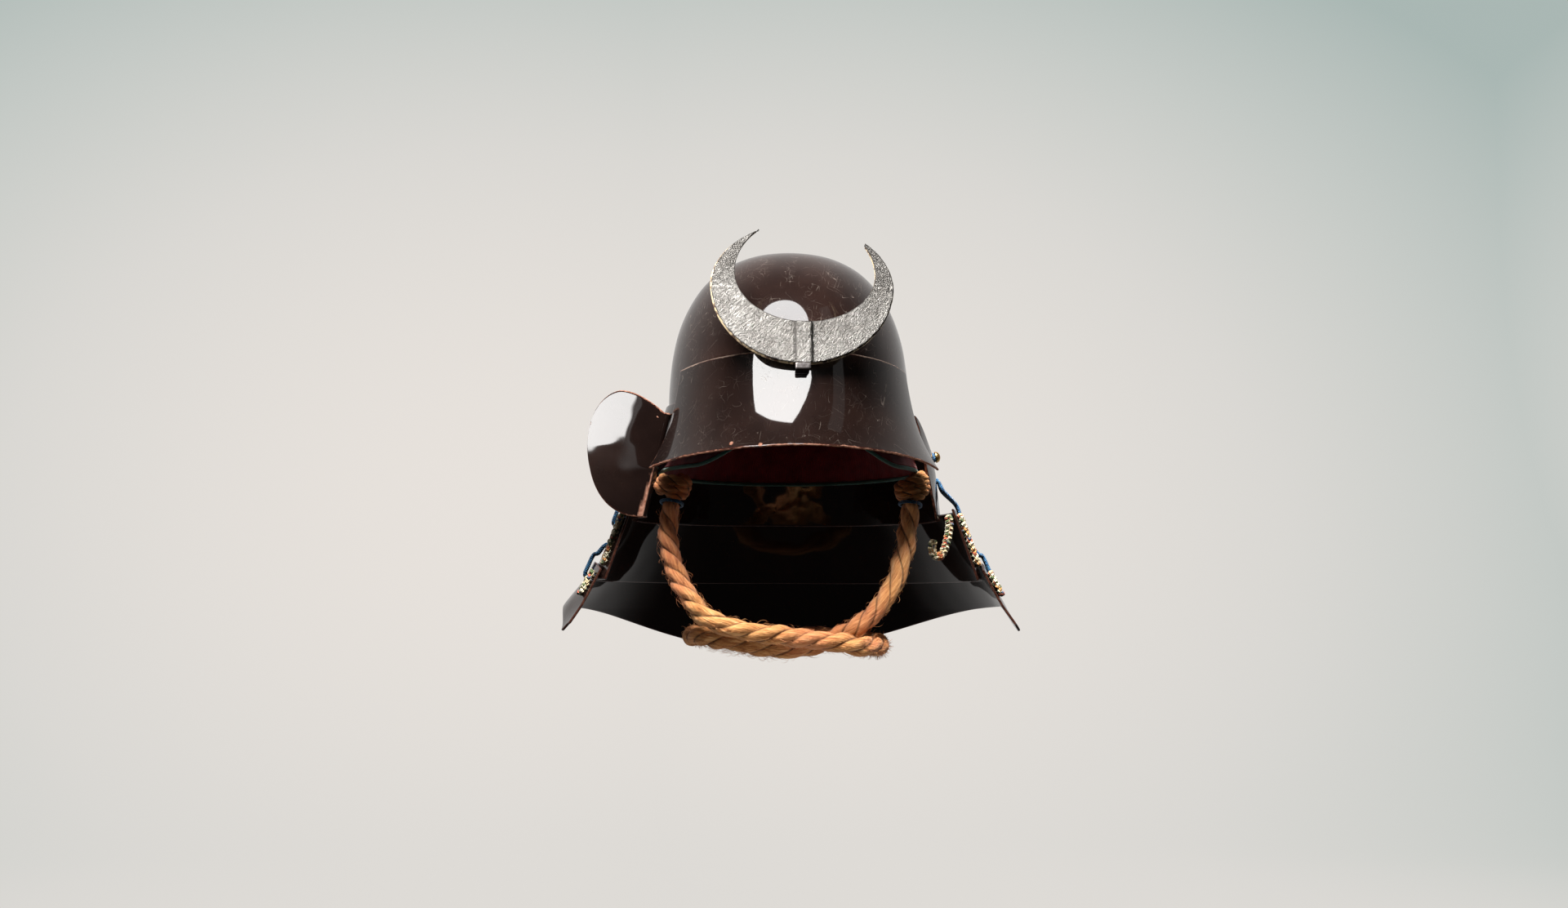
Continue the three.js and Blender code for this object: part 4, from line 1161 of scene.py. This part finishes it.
def laid(name, path, radius, hint, pitch, hand=1, sides=60, uneven=0.07, seed=3):
    """A laid rope as one skin round its strands, with the path that its rows follow.

    At an angle p from the nearest strand's middle, the skin stands c cos p + sqrt(a^2 - c^2 sin^2 p)
    from the rope's middle, where c is how far out the strand lies and a is its radius. The pattern
    turns once in each pitch, and the field lay is 1 down between the strands.
    """
    length = np.linalg.norm(np.diff(path, axis=0), axis=1).sum()
    path = even_ends(path, radius * 0.5, int(length) + 30)
    along = from_ends(path[:, None], 0)[0]
    turn = np.linspace(0, TAU, sides + 1)[None]
    twist = TAU * along / pitch * hand + 0.25 * np.sin(along / 23.0)
    part = TAU / STRANDS
    local = np.mod(turn - twist, TAU)
    number = np.floor(local / part)
    p = np.mod(local, part) - part / 2
    c, a = STRAND_OUT, 1 - STRAND_OUT
    skin = c * np.cos(p) + np.sqrt(np.maximum(a ** 2 - (c * np.sin(p)) ** 2, 0))
    draw = np.random.default_rng(seed)
    slow = np.sin(along / draw.uniform(9, 14) + number * 2.1)
    fat = 1 + uneven * slow + uneven * 0.6 * np.sin(along / 4.3 + number * 4)
    lay = np.abs(p) / (part / 2)
    rough = ripple(np.stack([along / 9 + 0 * p, p * 2.6, number * 5.0], -1), seed, 2.4, 4)
    yarn = 0.016 * np.sin(p * 13 + along * 0.22 + 1.5 * np.sin(along / 17)) + 0.030 * rough
    reach = radius * (skin + yarn * (lay < 0.85)) * fat
    made = tube(name, path, reach, hint, sides=sides, fields={"lay": lay ** 3}, girth=radius * TAU * MM)
    return made, path


def hairs(name, path, radius, hint, count, seed, length=(3.0, 9.0), rise=2.6, thick=0.20):
    """Loose fibres: each a thin tapering three-sided strand that leaves the skin and curls back.

    A hair starts on the rope at a random place and turn, and runs along the rope and outwards by
    rise sin(2.2 s), with a sideways sway, for s from 0 to 1.
    """
    def each(values):
        return values[:, None, None]

    draw = np.random.default_rng(seed)
    fine = resample(path, 2000)
    side, up = section_frame(fine, hint)
    along = unit(np.gradient(fine, axis=0))
    at = draw.integers(20, 1980, count)
    angle = draw.uniform(0, TAU, count)
    out = np.cos(angle)[:, None] * side[at] + np.sin(angle)[:, None] * up[at]
    around = np.cross(along[at], out)
    s = np.linspace(0, 1, 7)[None, :, None]
    run = each(draw.uniform(*length, count)) * each(np.where(draw.random(count) < 0.5, -1, 1))
    high = each(draw.uniform(0.3, 1.0, count)) ** 1.6 * rise
    swing = each(draw.normal(0, 1.6, count))
    line = fine[at][:, None] + out[:, None] * (radius * 0.86 + high * np.sin(s * 2.2))
    line = line + along[at][:, None] * run * s * (0.45 + 0.2 * s) + around[:, None] * swing * s ** 1.5
    corner = np.arange(4)[:, None] * TAU / 3
    width = thick * (1.1 - s) * each(draw.uniform(0.7, 1.5, count))
    spoke = np.cos(corner) * out[:, None, None] + np.sin(corner) * around[:, None, None]
    ring = line[:, :, None] + width[:, :, None] * spoke
    points = ring.reshape(-1, 3)
    flow = np.stack([points[:, 0], points[:, 2]], -1) * MM
    return new_piece(name, points, quads_of(numbered(ring)), {"lay": np.zeros(len(points))}, flow)


def knot(name, middle, lean, seed):
    """The rope's own strand wound twice into a tight lump: a two-turn coil with its ends tucked in."""
    spin = np.linspace(-0.35, 2.25, 90)[:, None] * TAU
    rise = (spin / TAU - 0.95) * 5.4
    wide = 9.4 - 4.0 * smooth(np.abs(spin / TAU - 0.95), 0.95, 1.35)
    height = rise + 1.8 * np.sin(spin + 0.7)
    coil = np.concatenate([wide * 1.12 * np.cos(spin), wide * np.sin(spin), height], 1)
    tilt = np.array([[math.cos(lean), 0, math.sin(lean)], [0, 1, 0], [-math.sin(lean), 0, math.cos(lean)]])
    path = resample(np.asarray(middle) + coil @ tilt.T, 200)
    return laid(name, path, 6.6, (0.13, 0.21, 1), 30, seed=seed, sides=40, uneven=0.09)[0]


def silk_ring(name, path, at):
    """A cord wound one and a half times round the rope."""
    along = unit(path[at + 3] - path[at - 3])
    aside = unit(np.cross(along, (0, 1, 0)))
    up = np.cross(along, aside)
    spin = np.linspace(0, TAU * 1.5, 100)[:, None]
    coil = path[at] + 10.2 * (np.cos(spin) * aside + np.sin(spin) * up) + along * (spin / TAU - 0.75) * 1.2
    return tube(name, coil, 1.0, along, sides=10)


def make_chin_rope():
    """The rope with its fibres, its two knots and the rings that they are tied to."""
    path = resample(through(ROPE_ROUTE), 1500)
    rope, rows = laid("hemp_chin_rope", path, ROPE_RADIUS - 0.3, ROPE_HINT, 62, hand=-1)
    dress(rope, HEMP, "hemp", "chin_rope")
    fuzz = merged("hemp_fibres", [
        hairs("hemp_short_fibres", path, ROPE_RADIUS, ROPE_HINT, 2400, 71, thick=0.15),
        hairs("hemp_long_fibres", path, ROPE_RADIUS, ROPE_HINT, 620, 72, (6, 17), 5.0),
        hairs("hemp_tuft", path[1040:1150], ROPE_RADIUS, ROPE_HINT, 420, 73, (5, 14), 6),
        hairs("hemp_crossing_tuft", path[430:520], ROPE_RADIUS, ROPE_HINT, 200, 74, (5, 12), 5),
    ])
    dress(fuzz, HEMP, "hemp")
    places = (("left", (-109, -40, -214), 0.25, 5), ("right", (110, -40, -213.6), -0.2, 6))
    for side, middle, lean, seed in places:
        lump = knot(f"hemp_knot_{side}", middle, lean, seed)
        dress(lump, HEMP, "hemp", f"rope_knot_{side}")
    for side, share in (("left", 0.004), ("right", 0.996)):
        ring = silk_ring(f"silk_ring_{side}", path, int(share * 1499))
        dress(ring, BLUE_SILK, "blue_silk", f"rope_ring_{side}")


def make_loose_end():
    """The free end of a braid, which hangs inside the right middle lame."""
    loose = resample(through(LOOSE_ROUTE), 300)
    out, across = section_frame(resample(loose, 160), (0, -1, 0.2))
    end = plait("flecked_braid_loose_end", loose, out, across, radius=2.1, sway=2.0, rise=0.9, period=13)
    dress(end, FLECKED, "flecked_braid", "braid_loose_end")


# ---------------------------------------------------------------- room and light

def room_finish():
    """A glow that is brightest behind the helmet and falls off by the square of the distance.

    The distance to the side grows up to 2.3 m and then shrinks again, so every wall stays pale.
    """
    widest, dark_from = 2.3, 2.45
    f = Finish("pale_room")
    x, y, z = (f.parts(f.place, k) for k in "XYZ")
    folded = widest - abs(abs(x) - widest)
    aside = abs(folded.least(abs(y)) - 0.35)
    up = abs(z - 0.07) * 1.3
    far = (aside * aside + up * up) * (1 / dark_from ** 2)
    tones = [(0.0, (0.80, 0.757, 0.715)), (0.30, (0.70, 0.685, 0.655)), (0.62, (0.56, 0.59, 0.565)),
             (1.0, (0.40, 0.475, 0.455))]
    return f.glow(f.ramp(far, tones), 1.0)


def make_room():
    """A level floor, in metres, that curves up by a quarter circle into a round wall."""
    level, curve, wall_top, under = 3.0, 1.6, 5.0, 0.78
    turn = np.linspace(0, TAU, 97)[:, None]
    angle = np.linspace(0.1, math.pi / 2, 12)
    out = np.concatenate([np.linspace(0.0001, level, 12), level + curve * np.sin(angle), [level + curve]])
    high = np.concatenate([np.zeros(12), curve - curve * np.cos(angle), [wall_top]])
    floor = grid_piece("pale_floor", place(out * np.sin(turn), out * np.cos(turn), high - under) / MM)
    floor.data.materials.append(room_finish())
    floor.visible_glossy = False
    floor.visible_diffuse = False
    floor.visible_shadow = False


def lamp(name, azimuth, elevation, distance, width, watts, colour=(1, 1, 1)):
    """A round flat lamp that looks at the helmet."""
    light = bpy.data.lights.new(name, "AREA")
    light.shape = "DISK"
    light.size = width
    light.energy = watts
    light.color = colour
    lit = bpy.data.objects.new(name, light)
    bpy.context.scene.collection.objects.link(lit)
    aim(lit, heading(azimuth, elevation, distance), HALF_WAY_DOWN)
    return lit


def panel(name, azimuth, elevation, distance, radius, corners, roll, strength, soft=0.0, wide=1.0):
    """A glowing flat panel with some corners, seen by reflections only.

    Soft is the share of its radius over which the glow fades.
    """
    f = Finish(name)
    white = (1.0, 0.985, 0.97)
    colour = f.mix(f.parts(f.flow(), "X").step(1.0, 1.0 - soft), (0, 0, 0), white) if soft else white
    turn = np.radians(roll) + np.linspace(0, TAU, corners + 1)
    ring = np.stack([np.cos(turn) * wide, np.sin(turn), 0 * turn], -1) * radius / MM
    shares = np.array([0.001, 1 - soft if soft else 0.5, 1.0])[None, :, None]
    grid = ring[:, None] * shares
    flow = np.broadcast_to(shares, (*grid.shape[:2], 2)).reshape(-1, 2)
    lit = new_piece(name, grid.reshape(-1, 3), quads_of(numbered(grid)), {}, flow)
    lit.data.materials.append(f.glow(colour, strength))
    aim(lit, heading(azimuth, elevation, distance), HALF_WAY_DOWN)
    lit.visible_camera = lit.visible_diffuse = lit.visible_shadow = False
    return lit


def only_for(light, pieces):
    """Lights the given pieces and no others."""
    chosen = bpy.data.collections.new(light.name + "_receivers")
    for piece in pieces:
        chosen.objects.link(piece)
    light.light_linking.receiver_collection = chosen


def make_lights():
    """Each lamp and panel lights the pieces that it is made for; two back lamps light them all."""
    warm = (1, 0.985, 0.965)
    pieces = [piece for piece in bpy.data.objects if piece.type == "MESH"]
    lacquered = [piece for piece in pieces if LACQUER.name in piece.data.materials]
    others = [piece for piece in pieces if piece not in lacquered]

    def called(*names):
        return [piece for piece in pieces if piece.name in names]

    bowl, brow, lame = called("lacquered_bowl"), called("brow_plate_lacquered"), called("top_lame_and_ear")
    crest = called("silvered_crescent", "crest_board", "crest_clip_bright")
    rope = called("hemp_chin_rope", "hemp_fibres")
    only_for(panel("brow_panel", -16.5, 23.6, 1.6, 0.82, 6, 15, 23, wide=1.1), brow)
    only_for(lamp("dome_lamp", -14, 37, 1.35, 1.2, 64), bowl)
    only_for(panel("ear_panel", -71, 17.3, 1.5, 0.118, 6, 30, 21, soft=0.1, wide=6.0), lame)
    only_for(panel("ear_glow", -38, 21, 1.8, 0.6, 8, 12, 1.6, soft=0.75), lame)
    only_for(lamp("low_lamp", 0, -50, 0.42, 0.3, 0.25, (1, 0.97, 0.94)), rope)
    only_for(lamp("key_lamp", 3, 64, 1.5, 0.7, 108, warm), [piece for piece in others if piece not in crest])
    only_for(lamp("crest_lamp", -44, 38, 0.8, 0.5, 17, warm), crest)
    top_lamp = lamp("lacquer_top_lamp", -17, 50, 1.5, 0.8, 40)
    top_lamp.visible_glossy = False
    only_for(top_lamp, [piece for piece in lacquered if piece not in bowl])
    only_for(panel("right_strip", 45, 35, 2.2, 0.9, 4, 45, 0.35, wide=0.33), lacquered)
    for azimuth in (-150, 150):
        lamp(f"back_lamp_{azimuth}", azimuth, 40, 2.0, 1.2, 9).visible_glossy = False


def make_world():
    """Bright behind the helmet and dark ahead of it, by the way that a ray goes."""
    world = bpy.data.worlds.new("Room")
    bpy.context.scene.world = world
    world.use_nodes = True
    tree = world.node_tree
    tree.nodes.clear()
    ray = tree.nodes.new("ShaderNodeTexCoord")
    apart = tree.nodes.new("ShaderNodeSeparateXYZ")
    strength = tree.nodes.new("ShaderNodeMapRange")
    strength.interpolation_type = "SMOOTHSTEP"
    for name, value in (("From Min", -0.35), ("From Max", 0.75), ("To Min", 0.02), ("To Max", 0.62)):
        strength.inputs[name].default_value = value
    background = tree.nodes.new("ShaderNodeBackground")
    background.inputs["Color"].default_value = (1.0, 0.975, 0.95, 1)
    surface = tree.nodes.new("ShaderNodeOutputWorld")
    tree.links.new(ray.outputs["Generated"], apart.inputs[0])
    tree.links.new(apart.outputs["Y"], strength.inputs["Value"])
    tree.links.new(strength.outputs[0], background.inputs["Strength"])
    tree.links.new(background.outputs[0], surface.inputs[0])


# ---------------------------------------------------------------- the whole helmet

make_chin_rope()
make_loose_end()
make_bowl()
make_lining()
make_binding()
make_brow_plate()
make_plates()
make_crest_face()
make_crest_board()
make_crest_mount()
make_rivets()
make_laces()
make_braids()
make_room()
make_world()
make_lights()
